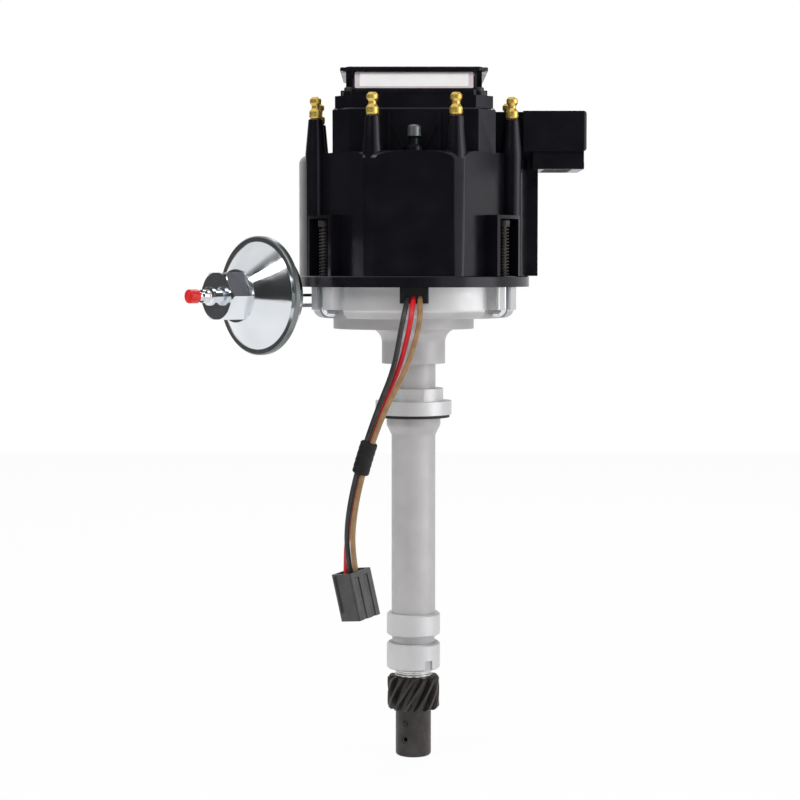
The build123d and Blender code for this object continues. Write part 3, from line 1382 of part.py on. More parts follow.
def all_parts():
    wires = {name: harness_wire(name) for name in wire_routes}
    parts = {
        "housing": housing(),
        "shaft_bushings": [bushing(pivot_top_z - bushing_length), bushing(housing_bottom_z)],
        "mounting_gasket": gasket(),
        "plate_clip": retaining_clip(),
        "ignition_module": module(),
        "bowl_screws": bowl_screws(),
        "condenser": condenser(),
        "distributor_cap": distributor_cap(),
        "tower_terminals": [terminal(azimuth) for azimuth in tower_azimuths()],
        "cap_blades": connector_blades(),
        "center_button": [center_button(), button_spring()],
        "arc_seal": arc_seal(),
        "coil_core": coil_core(),
        "coil_winding": coil_winding(),
        "coil_cover": coil_cover(),
        "coil_screws": coil_screws() + cover_screws(),
        "label_plate": label_plate(),
        "mainshaft": mainshaft(),
        "drive_gear": drive_gear(),
        "gear_roll_pin": gear_roll_pin(),
        "thrust_washers": thrust_washers(),
        "center_cam": center_cam(),
        "timer_core": timer_core(),
        "advance_springs": advance_springs(),
        "advance_base": advance_base(),
        "rotor": rotor(),
        "rotor_blade": rotor_blade(),
        "rotor_screws": rotor_screws(),
        "pickup_plate": pickup_plate(),
        "pickup_magnet": pickup_magnet(),
        "pickup_coil": pickup_coil(),
        "pole_piece": pole_piece(),
        "pull_rod": pull_rod(),
        "diaphragm_plate": diaphragm_plate(),
        "diaphragm": diaphragm(),
        "vacuum_spring": vacuum_spring(),
        "vacuum_front_shell": front_shell(),
        "vacuum_rear_shell": rear_shell() + vacuum_bracket(),
        "vacuum_port_cap": port_cap(),
        "harness_grommet": harness_grommet(),
        "wire_sleeve": wire_sleeve(wires.values()),
        "harness_plug": harness_plug(),
        "plug_terminals": plug_terminals(),
    }
    for name, tube in wires.items():
        parts["harness_wire_" + name] = tube
    for name, azimuth in weight_azimuths().items():
        parts["advance_weight_" + name] = advance_weight(azimuth)
    for name, azimuth in latch_azimuths.items():
        parts["latch_rod_" + name] = latch_rod(azimuth)
        parts["latch_washer_" + name] = latch_washer(azimuth)
        parts["latch_spring_" + name] = latch_spring(azimuth)
    return parts


os.makedirs("parts", exist_ok=True)
for node, shape in all_parts().items():
    export_step(as_solids(shape), "parts/" + node + ".step")
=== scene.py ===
import json
import math

import bpy
from mathutils import Matrix, Vector


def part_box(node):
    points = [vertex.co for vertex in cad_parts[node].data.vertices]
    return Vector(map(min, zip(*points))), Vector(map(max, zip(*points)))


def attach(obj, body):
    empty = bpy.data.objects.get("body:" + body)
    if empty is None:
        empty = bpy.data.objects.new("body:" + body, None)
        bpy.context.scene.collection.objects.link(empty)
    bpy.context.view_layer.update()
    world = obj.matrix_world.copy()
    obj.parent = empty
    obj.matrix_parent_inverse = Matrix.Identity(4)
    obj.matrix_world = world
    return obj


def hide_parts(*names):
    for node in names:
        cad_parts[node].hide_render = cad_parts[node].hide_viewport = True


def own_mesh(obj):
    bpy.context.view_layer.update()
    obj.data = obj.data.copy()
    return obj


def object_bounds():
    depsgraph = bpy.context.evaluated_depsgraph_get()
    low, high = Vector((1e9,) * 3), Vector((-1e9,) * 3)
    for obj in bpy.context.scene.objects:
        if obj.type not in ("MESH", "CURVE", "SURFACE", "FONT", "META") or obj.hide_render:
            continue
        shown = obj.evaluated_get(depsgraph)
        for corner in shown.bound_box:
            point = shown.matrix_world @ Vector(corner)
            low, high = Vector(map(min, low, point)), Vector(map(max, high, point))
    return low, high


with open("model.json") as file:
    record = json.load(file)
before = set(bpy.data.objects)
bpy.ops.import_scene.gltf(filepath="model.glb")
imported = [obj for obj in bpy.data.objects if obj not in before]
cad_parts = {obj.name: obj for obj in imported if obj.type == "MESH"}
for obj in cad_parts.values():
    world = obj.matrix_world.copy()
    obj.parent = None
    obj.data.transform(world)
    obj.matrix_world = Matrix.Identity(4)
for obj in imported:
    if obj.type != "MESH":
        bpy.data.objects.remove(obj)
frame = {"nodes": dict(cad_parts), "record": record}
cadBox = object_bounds()
cadNodes = frame["nodes"]
record = frame["record"]
slotOf = {part["node"]: part["material_slot"] for part in record["subparts"]}
bodyOf = {node: body for body, names in record["behaviour"]["bodies"].items() for node in names}
scene = bpy.context.scene
scene.view_settings.view_transform = "Standard"
print("frame loaded:", len(cadNodes), "nodes")


# The camera looks slightly down at the front.
camera = {"place": (-0.0079, -1.193, 0.086), "aim": (-0.0079, 0.0, 0.0099), "lens": 91.8, "sensor": 36.0,
          "near": 0.05, "far": 30.0}

lens = bpy.data.cameras.new("camera")
lens.lens, lens.sensor_width = camera["lens"], camera["sensor"]
lens.clip_start, lens.clip_end = camera["near"], camera["far"]
viewer = bpy.data.objects.new("camera", lens)
scene.collection.objects.link(viewer)
viewer.location = camera["place"]
gaze = Vector(camera["aim"]) - Vector(camera["place"])
viewer.rotation_euler = gaze.to_track_quat("-Z", "Y").to_euler()
scene.camera = viewer
print("camera placed")


# Colours are linear; rough is the lowest and highest roughness; grain and blotch are noise scales.
finishes = {
    "cast_aluminium": {
        "light": (0.53, 0.52, 0.525), "dark": (0.48, 0.47, 0.475), "metallic": 0.30,
        "rough": (0.42, 0.54), "blotch": 70.0, "grain": 1500.0, "bump": 0.30, "depth": 0.00012},
    "turned_aluminium": {
        "light": (0.66, 0.66, 0.67), "dark": (0.60, 0.60, 0.61), "metallic": 0.55,
        "rough": (0.36, 0.44), "blotch": 50.0, "grain": 420.0, "bump": 0.02, "depth": 0.00004},
    "steel": {
        "light": (0.66, 0.66, 0.66), "dark": (0.52, 0.52, 0.52), "metallic": 1.0,
        "rough": (0.18, 0.32), "blotch": 90.0, "grain": 500.0, "bump": 0.02, "depth": 0.00005},
    "dark_steel": {
        "light": (0.060, 0.054, 0.050), "dark": (0.034, 0.030, 0.028), "metallic": 0.45,
        "rough": (0.34, 0.50), "blotch": 120.0, "grain": 2200.0, "bump": 0.22, "depth": 0.00008},
    # A darker zinc: the post stud uses it as its metal, and on the canister rim it is painted shade for a dark
    # reflection.
    "dark_zinc_and_painted_rim_shade": {
        "light": (0.24, 0.265, 0.255), "dark": (0.17, 0.19, 0.185), "metallic": 0.8,
        "rough": (0.28, 0.38), "blotch": 60.0, "grain": 1200.0, "bump": 0.06, "depth": 0.00005},
    "zinc": {
        "light": (0.80, 0.83, 0.86), "dark": (0.72, 0.75, 0.78), "metallic": 1.0,
        "rough": (0.08, 0.17), "blotch": 40.0, "grain": 700.0, "bump": 0.05, "depth": 0.00006},
    "brass": {
        "light": (0.88, 0.64, 0.17), "dark": (0.74, 0.50, 0.11), "metallic": 0.75,
        "rough": (0.24, 0.34), "blotch": 200.0, "grain": 500.0, "bump": 0.02, "depth": 0.00004},
    "bronze": {
        "light": (0.42, 0.25, 0.12), "dark": (0.30, 0.17, 0.08), "metallic": 0.9,
        "rough": (0.36, 0.5), "blotch": 150.0, "grain": 2600.0, "bump": 0.15, "depth": 0.00005},
    "black_plastic": {
        "light": (0.0066, 0.0060, 0.0088), "dark": (0.0042, 0.0038, 0.0060), "metallic": 0.0,
        "rough": (0.17, 0.27), "shine": 0.36, "tint": (0.90, 0.87, 1.0),
        "blotch": 26.0, "grain": 380.0, "bump": 0.05, "depth": 0.00012},
    "plug_plastic": {
        "light": (0.046, 0.044, 0.046), "dark": (0.030, 0.029, 0.030), "metallic": 0.0,
        "rough": (0.26, 0.38), "blotch": 120.0, "grain": 1500.0, "bump": 0.10, "depth": 0.00005},
    "white_plastic": {
        "light": (0.72, 0.71, 0.67), "dark": (0.62, 0.61, 0.58), "metallic": 0.0,
        "rough": (0.35, 0.5), "blotch": 120.0, "grain": 1500.0, "bump": 0.08, "depth": 0.00005},
    "gasket_rubber": {
        "light": (0.016, 0.016, 0.016), "dark": (0.009, 0.009, 0.009), "metallic": 0.0,
        "rough": (0.55, 0.7), "blotch": 150.0, "grain": 1800.0, "bump": 0.25, "depth": 0.00006},
    "black_rubber": {
        "light": (0.010, 0.010, 0.011), "dark": (0.006, 0.006, 0.006), "metallic": 0.0,
        "rough": (0.45, 0.62), "shine": 0.3, "blotch": 150.0, "grain": 1800.0, "bump": 0.20, "depth": 0.00006},
    "red_rubber": {
        "light": (0.80, 0.016, 0.012), "dark": (0.62, 0.010, 0.009), "metallic": 0.0,
        "rough": (0.30, 0.42), "blotch": 200.0, "grain": 1500.0, "bump": 0.10, "depth": 0.00005},
    "black_wire": {
        "light": (0.034, 0.033, 0.034), "dark": (0.020, 0.019, 0.020), "metallic": 0.0,
        "rough": (0.32, 0.45), "blotch": 200.0, "grain": 1500.0, "bump": 0.08, "depth": 0.00004},
    "red_wire": {
        "light": (0.74, 0.018, 0.026), "dark": (0.58, 0.011, 0.018), "metallic": 0.0,
        "rough": (0.28, 0.40), "blotch": 200.0, "grain": 1500.0, "bump": 0.08, "depth": 0.00004},
    "brown_wire": {
        "light": (0.34, 0.20, 0.090), "dark": (0.24, 0.135, 0.060), "metallic": 0.0,
        "rough": (0.32, 0.45), "blotch": 200.0, "grain": 1500.0, "bump": 0.08, "depth": 0.00004},
    "lamination": {
        "light": (0.26, 0.26, 0.27), "dark": (0.16, 0.16, 0.17), "metallic": 0.8,
        "rough": (0.34, 0.5), "blotch": 90.0, "grain": 1800.0, "bump": 0.15, "depth": 0.00006},
    "potting": {
        "light": (0.020, 0.018, 0.017), "dark": (0.012, 0.011, 0.010), "metallic": 0.0,
        "rough": (0.22, 0.42), "blotch": 70.0, "grain": 300.0, "bump": 0.20, "depth": 0.0002},
    "magnet": {
        "light": (0.055, 0.055, 0.058), "dark": (0.035, 0.035, 0.038), "metallic": 0.2,
        "rough": (0.5, 0.7), "blotch": 120.0, "grain": 1600.0, "bump": 0.25, "depth": 0.00008},
    "copper_coil": {
        "light": (0.62, 0.26, 0.12), "dark": (0.42, 0.15, 0.06), "metallic": 0.9,
        "rough": (0.28, 0.42), "blotch": 300.0, "grain": 2400.0, "bump": 0.2, "depth": 0.00006},
    "carbon": {
        "light": (0.03, 0.03, 0.032), "dark": (0.018, 0.018, 0.02), "metallic": 0.1,
        "rough": (0.5, 0.65), "blotch": 200.0, "grain": 2000.0, "bump": 0.2, "depth": 0.00005},
    "label": {
        "light": (0.84, 0.83, 0.83), "dark": (0.79, 0.78, 0.78), "metallic": 0.0,
        "rough": (0.28, 0.40), "blotch": 80.0, "grain": 900.0, "bump": 0.03, "depth": 0.00004},
    "label_edge": {
        "light": (0.60, 0.53, 0.54), "dark": (0.52, 0.46, 0.47), "metallic": 0.0,
        "rough": (0.28, 0.40), "blotch": 80.0, "grain": 900.0, "bump": 0.03, "depth": 0.00004},
}


# Where the blotches fade from dark to light and from smooth to rough, and how fine the noises are.
texture = {"ramp": (0.35, 0.68), "sheen": (0.3, 0.7), "finer": 3.0, "blotchDetail": 2.0, "grainDetail": 3.0}


def noise(nodes, links, place, scale, detail=texture["blotchDetail"]):
    cloud = nodes.new("ShaderNodeTexNoise")
    cloud.inputs["Scale"].default_value = scale
    cloud.inputs["Detail"].default_value = detail
    links.new(place.outputs["Object"], cloud.inputs["Vector"])
    return cloud


def makeFinish(name, look):
    material = bpy.data.materials.new(name)
    material.use_nodes = True
    nodes, links = material.node_tree.nodes, material.node_tree.links
    shader = nodes["Principled BSDF"]
    shader.inputs["Metallic"].default_value = look["metallic"]
    shader.inputs["Specular IOR Level"].default_value = look.get("shine", 0.5)
    shader.inputs["Specular Tint"].default_value = (*look.get("tint", (1.0, 1.0, 1.0)), 1.0)
    place = nodes.new("ShaderNodeTexCoord")
    blotch = noise(nodes, links, place, look["blotch"])
    ramp = nodes.new("ShaderNodeValToRGB")
    for stop, position, tone in zip(ramp.color_ramp.elements, texture["ramp"], ("dark", "light")):
        stop.position = position
        stop.color = (*look[tone], 1.0)
    links.new(blotch.outputs["Fac"], ramp.inputs["Fac"])
    links.new(ramp.outputs["Color"], shader.inputs["Base Color"])
    sheen = nodes.new("ShaderNodeMapRange")
    sheen.inputs["From Min"].default_value, sheen.inputs["From Max"].default_value = texture["sheen"]
    sheen.inputs["To Min"].default_value, sheen.inputs["To Max"].default_value = look["rough"]
    wear = noise(nodes, links, place, look["blotch"] * texture["finer"])
    links.new(wear.outputs["Fac"], sheen.inputs["Value"])
    links.new(sheen.outputs["Result"], shader.inputs["Roughness"])
    grain = noise(nodes, links, place, look["grain"], texture["grainDetail"])
    bump = nodes.new("ShaderNodeBump")
    bump.inputs["Strength"].default_value = look["bump"]
    bump.inputs["Distance"].default_value = look["depth"]
    links.new(grain.outputs["Fac"], bump.inputs["Height"])
    links.new(bump.outputs["Normal"], shader.inputs["Normal"])
    return material


finishOf = {name: makeFinish(name, look) for name, look in finishes.items()}
print("finishes made:", len(finishOf))


# Routes in millimetres, from the grommet to the plug.
wires = {
    "diameter": 0.003,
    "black": [(-3.0, -55.0, 73.0), (-4.8, -67.0, 65.5), (-7.6, -70.5, 52.0), (-11.4, -70.8, 31.0),
              (-19.6, -69.6, 11.0), (-27.0, -68.0, -10.0), (-33.4, -66.6, -32.0), (-37.2, -65.0, -53.0),
              (-37.6, -64.2, -70.0), (-35.0, -63.9, -85.0)],
    "red": [(-0.1, -55.0, 73.0), (-1.0, -67.0, 65.5), (-3.0, -68.4, 52.0), (-8.4, -67.3, 31.0),
            (-17.8, -66.2, 11.0), (-25.2, -64.9, -10.0), (-31.2, -63.2, -32.0), (-35.6, -61.8, -53.0),
            (-38.2, -60.7, -70.0), (-38.0, -60.9, -85.0)],
    "brown": [(2.9, -55.0, 73.0), (3.6, -67.0, 65.5), (2.2, -70.4, 52.0), (-4.4, -71.4, 31.0),
              (-15.2, -70.6, 11.0), (-23.4, -69.2, -10.0), (-30.0, -68.1, -32.0), (-33.8, -67.0, -53.0),
              (-34.4, -66.9, -70.0), (-31.9, -66.9, -85.0)],
    "length": {"black": 0.1696, "red": 0.1696, "brown": 0.1712},
    "roundness": 4, "resolution": 16,
}
wireNames = ("black", "red", "brown")


def metres(point):
    return tuple(value / 1000.0 for value in point)


def drawCurve(title, points, resolution):
    line = bpy.data.curves.new(title, "CURVE")
    line.dimensions, line.resolution_u = "3D", resolution
    spline = line.splines.new("NURBS")
    spline.points.add(len(points) - 1)
    for knot, point in zip(spline.points, points):
        knot.co = (*point, 1.0)
    spline.order_u = 3
    spline.use_endpoint_u = True
    piece = bpy.data.objects.new(title, line)
    scene.collection.objects.link(piece)
    return piece


def layWire(name):
    piece = drawCurve("wire_" + name, [metres(point) for point in wires[name]], wires["resolution"])
    line = piece.data
    line.bevel_depth, line.bevel_resolution = wires["diameter"] / 2, wires["roundness"]
    line.use_fill_caps = True
    line.materials.append(finishOf[name + "_wire"])
    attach(piece, "distributor_body")
    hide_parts("harness_wire_" + name)
    return piece


wirePieces = {name: layWire(name) for name in wireNames}
print("wires laid")


for node, piece in cadNodes.items():
    piece.data.materials.clear()
    piece.data.materials.append(finishOf[slotOf[node]])


def selectOnly(piece):
    bpy.ops.object.select_all(action="DESELECT")
    bpy.context.view_layer.objects.active = piece
    piece.select_set(True)


# Angles in degrees; the normals follow the larger faces.
rounding = {"merge": 0.00001, "flat": 0.6, "segments": 2, "sharp": 32, "smooth": 31, "flatWeight": 80}

# Widths of the rounded edges, in metres.
softEdges = {
    "distributor_cap": 0.00045, "coil_cover": 0.0005, "housing": 0.0004,
    "drive_gear": 0.00022, "harness_plug": 0.0003,
    "vacuum_front_shell": 0.0004, "vacuum_rear_shell": 0.0003,
    "vacuum_port_cap": 0.0006, "tower_terminals": 0.00025,
    "mounting_gasket": 0.0003, "thrust_washers": 0.00025, "harness_grommet": 0.0004, "label_plate": 0.00012,
    "rotor": 0.0004, "coil_screws": 0.0002, "mainshaft": 0.0003, "ignition_module": 0.0003,
}
latches = ("front_right", "rear_right", "rear_left", "front_left")
softEdges.update({"latch_rod_" + name: 0.0003 for name in latches})
softEdges.update({"latch_washer_" + name: 0.0001 for name in latches})


def standFor(piece, node):
    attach(piece, bodyOf[node])
    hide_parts(node)


def softenEdges(node, width):
    piece = bpy.data.objects.new("soft_" + node, cadNodes[node].data.copy())
    scene.collection.objects.link(piece)
    selectOnly(piece)
    bpy.ops.object.mode_set(mode="EDIT")
    bpy.ops.mesh.select_all(action="SELECT")
    bpy.ops.mesh.remove_doubles(threshold=rounding["merge"])
    bpy.ops.mesh.dissolve_limited(angle_limit=math.radians(rounding["flat"]))
    bpy.ops.object.mode_set(mode="OBJECT")
    bevel = piece.modifiers.new("rounding", "BEVEL")
    bevel.width, bevel.segments = width, rounding["segments"]
    bevel.limit_method, bevel.angle_limit = "ANGLE", math.radians(rounding["sharp"])
    bpy.ops.object.modifier_apply(modifier="rounding")
    bpy.ops.object.shade_smooth_by_angle(angle=math.radians(rounding["smooth"]))
    normals = piece.modifiers.new("even normals", "WEIGHTED_NORMAL")
    normals.keep_sharp, normals.weight = True, rounding["flatWeight"]
    bpy.ops.object.modifier_apply(modifier="even normals")
    standFor(piece, node)
    return piece


softPieces = {node: softenEdges(node, width) for node, width in softEdges.items()}
print("edges rounded:", len(softPieces))


# Machined faces of the housing are brighter than the cast ones; heights in metres.
machined = {"outside": 0.0146,
            "bands": [(-0.1490, -0.1320), (-0.1290, -0.1150), (0.0019, 0.0172), (0.0625, 0.0770)]}


def shineMachinedFaces():
    mesh = softPieces["housing"].data
    mesh.materials.append(finishOf["turned_aluminium"])
    for face in mesh.polygons:
        x, y, z = face.center
        inBand = any(low < z < high for low, high in machined["bands"])
        if inBand and math.hypot(x, y) > machined["outside"]:
            face.material_index = 1


shineMachinedFaces()

# The post in front of the coil well ends in a bright stud.
post = {"place": (0.0, -0.05208), "reach": 0.0056, "low": 0.1600, "high": 0.1675}


def shinePost():
    mesh = softPieces["distributor_cap"].data
    mesh.materials.append(finishOf["dark_zinc_and_painted_rim_shade"])
    for face in mesh.polygons:
        x, y, z = face.center
        away = math.hypot(x - post["place"][0], y - post["place"][1])
        if post["low"] < z < post["high"] and away < post["reach"]:
            face.material_index = 1


shinePost()
print("machined faces set")

# The canister points along its own axis; lengths in metres. Its hexagon has a point to each side.
canister = {"azimuth": 223.8, "middle": (-0.0877, -0.03294, 0.0714), "hexTurn": 30.0,
            "rimRadius": 0.0301, "capMiddle": 0.0479, "capShare": 0.52}
bearing = math.radians(canister["azimuth"])
canisterAxis = Vector((math.cos(bearing), math.sin(bearing), 0.0))
canisterMiddle = Vector(canister["middle"])


def finishCanister():
    mesh = softPieces["vacuum_front_shell"].data
    turn = Matrix.Rotation(math.radians(canister["hexTurn"]), 4, canisterAxis)
    mesh.transform(Matrix.Translation(canisterMiddle) @ turn @ Matrix.Translation(-canisterMiddle))
    # Faces beyond the rim radius take the darker zinc, painted shade standing for the dark reflection on the
    # rim.
    mesh.materials.append(finishOf["dark_zinc_and_painted_rim_shade"])
    for face in mesh.polygons:
        offset = face.center - canisterMiddle
        if (offset - canisterAxis * offset.dot(canisterAxis)).length > canister["rimRadius"]:
            face.material_index = 1


def shortenPortCap():
    for vertex in softPieces["vacuum_port_cap"].data.vertices:
        along = (vertex.co - canisterMiddle).dot(canisterAxis)
        vertex.co += canisterAxis * (canister["capMiddle"] - along) * (1.0 - canister["capShare"])


finishCanister()
shortenPortCap()
print("canister finished")


# A pale border lies under the bare label plate, on the sloped panel.
border = {"wide": 1.09, "tall": 1.22, "thin": 0.5, "sink": 0.00012,
          "foot": (-0.0414, 0.1869), "top": (-0.0384, 0.1975)}


def layBorder():
    mesh = cadNodes["label_plate"].data.copy()
    slope = (Vector((0.0, *border["top"])) - Vector((0.0, *border["foot"]))).normalized()
    outward = Vector((1.0, 0.0, 0.0)).cross(slope)
    low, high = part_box("label_plate")
    middle = (Vector(low) + Vector(high)) / 2
    for vertex in mesh.vertices:
        offset = vertex.co - middle
        across = Vector((offset.x * border["wide"], 0.0, 0.0))
        upward = slope * offset.dot(slope) * border["tall"]
        lifted = outward * (offset.dot(outward) * border["thin"] - border["sink"])
        vertex.co = middle + across + upward + lifted
    mesh.materials.clear()
    mesh.materials.append(finishOf["label_edge"])
    piece = bpy.data.objects.new("label_border", mesh)
    scene.collection.objects.link(piece)
    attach(piece, "distributor_body")


layBorder()
print("label border laid")


# Above the rim band each latch rod is painted dark steel, painted shade for the part recessed in its channel;
# its hook below keeps its bright finish.
paintedShadeAbove = 0.0800


def paintLatchShade(piece):
    selectOnly(piece)
    bpy.ops.object.mode_set(mode="EDIT")
    bpy.ops.mesh.select_all(action="SELECT")
    bpy.ops.mesh.bisect(plane_co=(0.0, 0.0, paintedShadeAbove), plane_no=(0.0, 0.0, 1.0))
    bpy.ops.object.mode_set(mode="OBJECT")
    mesh = piece.data
    # Faces above the cut take dark steel as painted shade.
    mesh.materials.append(finishOf["dark_steel"])
    for face in mesh.polygons:
        if face.center.z > paintedShadeAbove:
            face.material_index = 1


for name in latches:
    paintLatchShade(softPieces["latch_rod_" + name])
    softPieces["latch_washer_" + name].data.materials[0] = finishOf["dark_steel"]
print("latches shade_painted")


# Radii and wire in metres. Each spring is wound upright and then laid between its two ends.
springs = {
    "latch": {"radius": 0.00275, "wire": 0.00045, "turns": 15, "steps": 18},
    "vacuum": {"radius": 0.0086, "wire": 0.0006, "turns": 7, "steps": 28},
}
springCorners, springMerge = 10, 0.000001


def windSpring(title, kind, start, end, finish):
    size = springs[kind]
    along = Vector(end) - Vector(start)
    pitch = (along.length - 2 * size["wire"]) / size["turns"]
    bpy.ops.object.select_all(action="DESELECT")
    bpy.ops.mesh.primitive_circle_add(vertices=springCorners, radius=size["wire"], fill_type="NOTHING",
                                      location=(size["radius"], 0.0, size["wire"]),
                                      rotation=(math.pi / 2, 0.0, 0.0))
    coil = bpy.context.active_object
    bpy.ops.object.transform_apply(location=True, rotation=True, scale=True)
    screw = coil.modifiers.new("winding", "SCREW")
    screw.axis, screw.angle, screw.screw_offset = "Z", 2 * math.pi, pitch
    screw.iterations, screw.steps, screw.render_steps = size["turns"], size["steps"], size["steps"]
    bpy.ops.object.modifier_apply(modifier="winding")
    bpy.ops.object.mode_set(mode="EDIT")
    bpy.ops.mesh.select_all(action="SELECT")
    bpy.ops.mesh.remove_doubles(threshold=springMerge)
    bpy.ops.mesh.fill_holes(sides=0)
    bpy.ops.mesh.select_all(action="SELECT")
    bpy.ops.mesh.normals_make_consistent(inside=False)
    bpy.ops.object.mode_set(mode="OBJECT")
    bpy.ops.object.shade_smooth()
    coil.data.transform(Matrix.Translation(start) @ along.to_track_quat("Z", "Y").to_matrix().to_4x4())
    coil.data.materials.clear()
    coil.data.materials.append(finishOf[finish])
    coil.name = title
    return coil


def windLatchSprings():
    for name in latches:
        low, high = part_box("latch_spring_" + name)
        x, y = (low[0] + high[0]) / 2, (low[1] + high[1]) / 2
        coil = windSpring("coil_spring_" + name, "latch", (x, y, low[2]), (x, y, high[2]), "dark_steel")
        standFor(coil, "latch_spring_" + name)
        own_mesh(coil)


windLatchSprings()
print("latch springs wound")


# In the real canister the spring shortens as the rod is pulled toward the nipple; here it is wound at one
# fixed length.
vacuumSpring = {"start": -0.0036, "end": 0.0288, "keep": 0.79}


def windVacuumSpring():
    start = canisterMiddle + canisterAxis * vacuumSpring["start"]
    end = canisterMiddle + canisterAxis * vacuumSpring["end"]
    coil = windSpring("coil_spring_vacuum", "vacuum", start, end, "steel")
    standFor(coil, "vacuum_spring")
    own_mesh(coil)


windVacuumSpring()
print("vacuum spring wound")


# The tape sleeve follows the middle of the three wires.
sleeve = {"top": -0.0092, "bottom": -0.0268, "radius": 0.0049, "wrap": 0.0032, "edge": 0.0002,
          "endStep": 0.0005, "endRings": 2, "around": 28, "step": 0.0003, "spare": 0.002, "resolution": 40,
          "smooth": 40}


def sleeveLine():
    points = [sum((Vector(metres(wires[name][number])) for name in wireNames), Vector()) / len(wireNames)
              for number in range(len(wires["black"]))]
    holder = drawCurve("sleeve_line", points, sleeve["resolution"])
    bpy.context.view_layer.update()
    mesh = bpy.data.meshes.new_from_object(holder)
    path = [vertex.co.copy() for vertex in mesh.vertices]
    bpy.data.objects.remove(holder)
    low, high = sleeve["bottom"] - sleeve["spare"], sleeve["top"] + sleeve["spare"]
    return [point for point in path if low < point.z < high]


def wrapSleeve():
    path = sleeveLine()
    low, high = sorted((path[0], path[-1]), key=lambda point: point.z)
    along = (high - low).normalized()
    side = along.cross(Vector((0.0, 1.0, 0.0))).normalized()
    front = side.cross(along).normalized()
    count = int((sleeve["top"] - sleeve["bottom"]) / sleeve["step"])
    ordered = sorted(path, key=lambda point: point.z)
    corners, faces = [], []
    for ring in range(count + 1):
        z = sleeve["bottom"] + (sleeve["top"] - sleeve["bottom"]) * ring / count
        before = max((point for point in ordered if point.z <= z), key=lambda point: point.z)
        after = min((point for point in ordered if point.z > z), key=lambda point: point.z)
        middle = before.lerp(after, (z - before.z) / (after.z - before.z))
        end = min(ring, count - ring) < sleeve["endRings"]
        for number in range(sleeve["around"]):
            turn = number / sleeve["around"]
            wrap = (ring * sleeve["step"] / sleeve["wrap"] + turn) % 1.0
            radius = sleeve["radius"] - sleeve["edge"] * wrap - (sleeve["endStep"] if end else 0.0)
            angle = turn * 2 * math.pi
            corners.append(middle + side * math.cos(angle) * radius + front * math.sin(angle) * radius)
    around = sleeve["around"]
    for ring in range(count):
        for number in range(around):
            a, b = ring * around + number, ring * around + (number + 1) % around
            faces.append((a, b, b + around, a + around))
    faces.append(tuple(reversed(range(around))))
    faces.append(tuple(range(count * around, (count + 1) * around)))
    mesh = bpy.data.meshes.new("tape_sleeve")
    mesh.from_pydata([tuple(corner) for corner in corners], [], faces)
    piece = bpy.data.objects.new("tape_sleeve", mesh)
    scene.collection.objects.link(piece)
    selectOnly(piece)
    bpy.ops.object.mode_set(mode="EDIT")
    bpy.ops.mesh.select_all(action="SELECT")
    bpy.ops.mesh.normals_make_consistent(inside=False)
    bpy.ops.object.mode_set(mode="OBJECT")
    bpy.ops.object.shade_smooth_by_angle(angle=math.radians(sleeve["smooth"]))
    mesh.materials.append(finishOf["black_rubber"])
    standFor(piece, "wire_sleeve")
    return piece


tapeSleeve = wrapSleeve()
print("sleeve wrapped")


# The floor and backdrop are white to the camera, and the floor keeps a soft shadow.
stage = {"size": 4.0, "paper": (0.86, 0.86, 0.86), "rough": 0.9, "shadow": 0.05}


def eitherRay(nodes, links, first, second):
    rays = nodes.new("ShaderNodeLightPath")
    seen = nodes.new("ShaderNodeMath")
    seen.operation = "MAXIMUM"
    links.new(rays.outputs[first], seen.inputs[0])
    links.new(rays.outputs[second], seen.inputs[1])
    return rays, seen


bpy.ops.object.select_all(action="DESELECT")
bpy.ops.mesh.primitive_plane_add(size=stage["size"], location=(0.0, 0.0, cadBox[0][2]))
floor = bpy.context.active_object
floor.name = "floor"
paper = bpy.data.materials.new("paper")
paper.use_nodes = True
nodes, links = paper.node_tree.nodes, paper.node_tree.links
paperShader = nodes["Principled BSDF"]
paperShader.inputs["Base Color"].default_value = (*stage["paper"], 1.0)
paperShader.inputs["Roughness"].default_value = stage["rough"]
paperShader.inputs["Specular IOR Level"].default_value = 0.0
glow = nodes.new("ShaderNodeEmission")
rays, seen = eitherRay(nodes, links, "Is Camera Ray", "Is Glossy Ray")
share = nodes.new("ShaderNodeMath")
share.operation = "MULTIPLY"
share.inputs[1].default_value = 1.0 - stage["shadow"]
links.new(seen.outputs["Value"], share.inputs[0])
blend = nodes.new("ShaderNodeMixShader")
links.new(share.outputs["Value"], blend.inputs["Fac"])
links.new(paperShader.outputs["BSDF"], blend.inputs[1])
links.new(glow.outputs["Emission"], blend.inputs[2])
links.new(blend.outputs["Shader"], nodes["Material Output"].inputs["Surface"])
floor.data.materials.append(paper)

# Mirror-like parts see a white tent with dark openings, each given by the way it lies.
# start and full are the cosines where the darkening begins and ends.
tent = {"plain": 0.50, "bright": 0.85, "openings": [
    {"toward": (-0.62, -0.78, 0.0), "start": 0.36, "full": 0.58, "glow": 0.04},
    {"toward": (0.28, 0.70, 0.65), "start": 0.80, "full": 0.92, "glow": 0.10},
    {"toward": (-0.98, 0.20, 0.0), "start": 0.74, "full": 0.88, "glow": 0.07},
    {"toward": (0.72, 0.15, 0.68), "start": 0.88, "full": 0.95, "glow": 0.09}]}

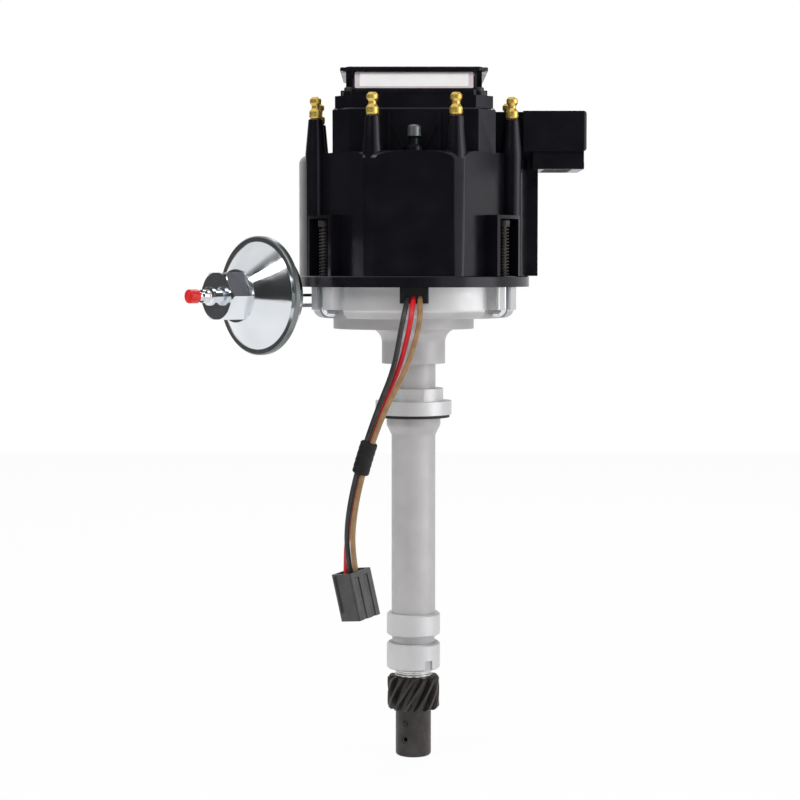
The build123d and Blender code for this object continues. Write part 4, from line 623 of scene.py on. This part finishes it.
world = bpy.data.worlds.new("studio")
scene.world = world
world.use_nodes = True
nodes, links = world.node_tree.nodes, world.node_tree.links
plain = nodes["Background"]
plain.inputs["Color"].default_value = (1.0, 1.0, 1.0, 1.0)
plain.inputs["Strength"].default_value = tent["plain"]
white = nodes.new("ShaderNodeBackground")
white.inputs["Color"].default_value = (1.0, 1.0, 1.0, 1.0)
reflected = nodes.new("ShaderNodeBackground")
reflected.inputs["Color"].default_value = (1.0, 1.0, 1.0, 1.0)
way = nodes.new("ShaderNodeTexCoord")
glows = []
for opening in tent["openings"]:
    toOpening = nodes.new("ShaderNodeVectorMath")
    toOpening.operation = "DOT_PRODUCT"
    toOpening.inputs[1].default_value = opening["toward"]
    links.new(way.outputs["Generated"], toOpening.inputs[0])
    fade = nodes.new("ShaderNodeMapRange")
    fade.interpolation_type = "SMOOTHSTEP"
    fade.inputs["From Min"].default_value = opening["start"]
    fade.inputs["From Max"].default_value = opening["full"]
    fade.inputs["To Min"].default_value = tent["bright"]
    fade.inputs["To Max"].default_value = opening["glow"]
    links.new(toOpening.outputs["Value"], fade.inputs["Value"])
    glows.append(fade)
darkest = glows[0].outputs["Result"]
for glow in glows[1:]:
    darker = nodes.new("ShaderNodeMath")
    darker.operation = "MINIMUM"
    links.new(darkest, darker.inputs[0])
    links.new(glow.outputs["Result"], darker.inputs[1])
    darkest = darker.outputs["Value"]
links.new(darkest, reflected.inputs["Strength"])
rays, seen = eitherRay(nodes, links, "Is Camera Ray", "Is Transmission Ray")
glossyBlend = nodes.new("ShaderNodeMixShader")
links.new(rays.outputs["Is Glossy Ray"], glossyBlend.inputs["Fac"])
links.new(plain.outputs["Background"], glossyBlend.inputs[1])
links.new(reflected.outputs["Background"], glossyBlend.inputs[2])
seenBlend = nodes.new("ShaderNodeMixShader")
links.new(seen.outputs["Value"], seenBlend.inputs["Fac"])
links.new(glossyBlend.outputs["Shader"], seenBlend.inputs[1])
links.new(white.outputs["Background"], seenBlend.inputs[2])
links.new(seenBlend.outputs["Shader"], nodes["World Output"].inputs["Surface"])

# Places and sizes in metres, power in watts.
lamps = {
    "key": {"place": (-0.9, -1.0, 1.1), "size": (0.7, 0.7), "power": 9.0},
    "front": {"place": (0.15, -1.1, 1.35), "size": (0.9, 0.25), "power": 4.0},
    "side": {"place": (1.3, -0.5, 0.35), "size": (0.9, 1.4), "power": 7.0},
    "back": {"place": (0.3, 1.2, 1.1), "size": (1.2, 0.6), "power": 8.0},
}
for name, lamp in lamps.items():
    light = bpy.data.lights.new(name, "AREA")
    light.shape, light.energy = "RECTANGLE", lamp["power"]
    light.size, light.size_y = lamp["size"]
    holder = bpy.data.objects.new(name, light)
    scene.collection.objects.link(holder)
    holder.location = lamp["place"]
    holder.rotation_euler = (-Vector(lamp["place"])).to_track_quat("-Z", "Y").to_euler()
print("stage and lamps set")
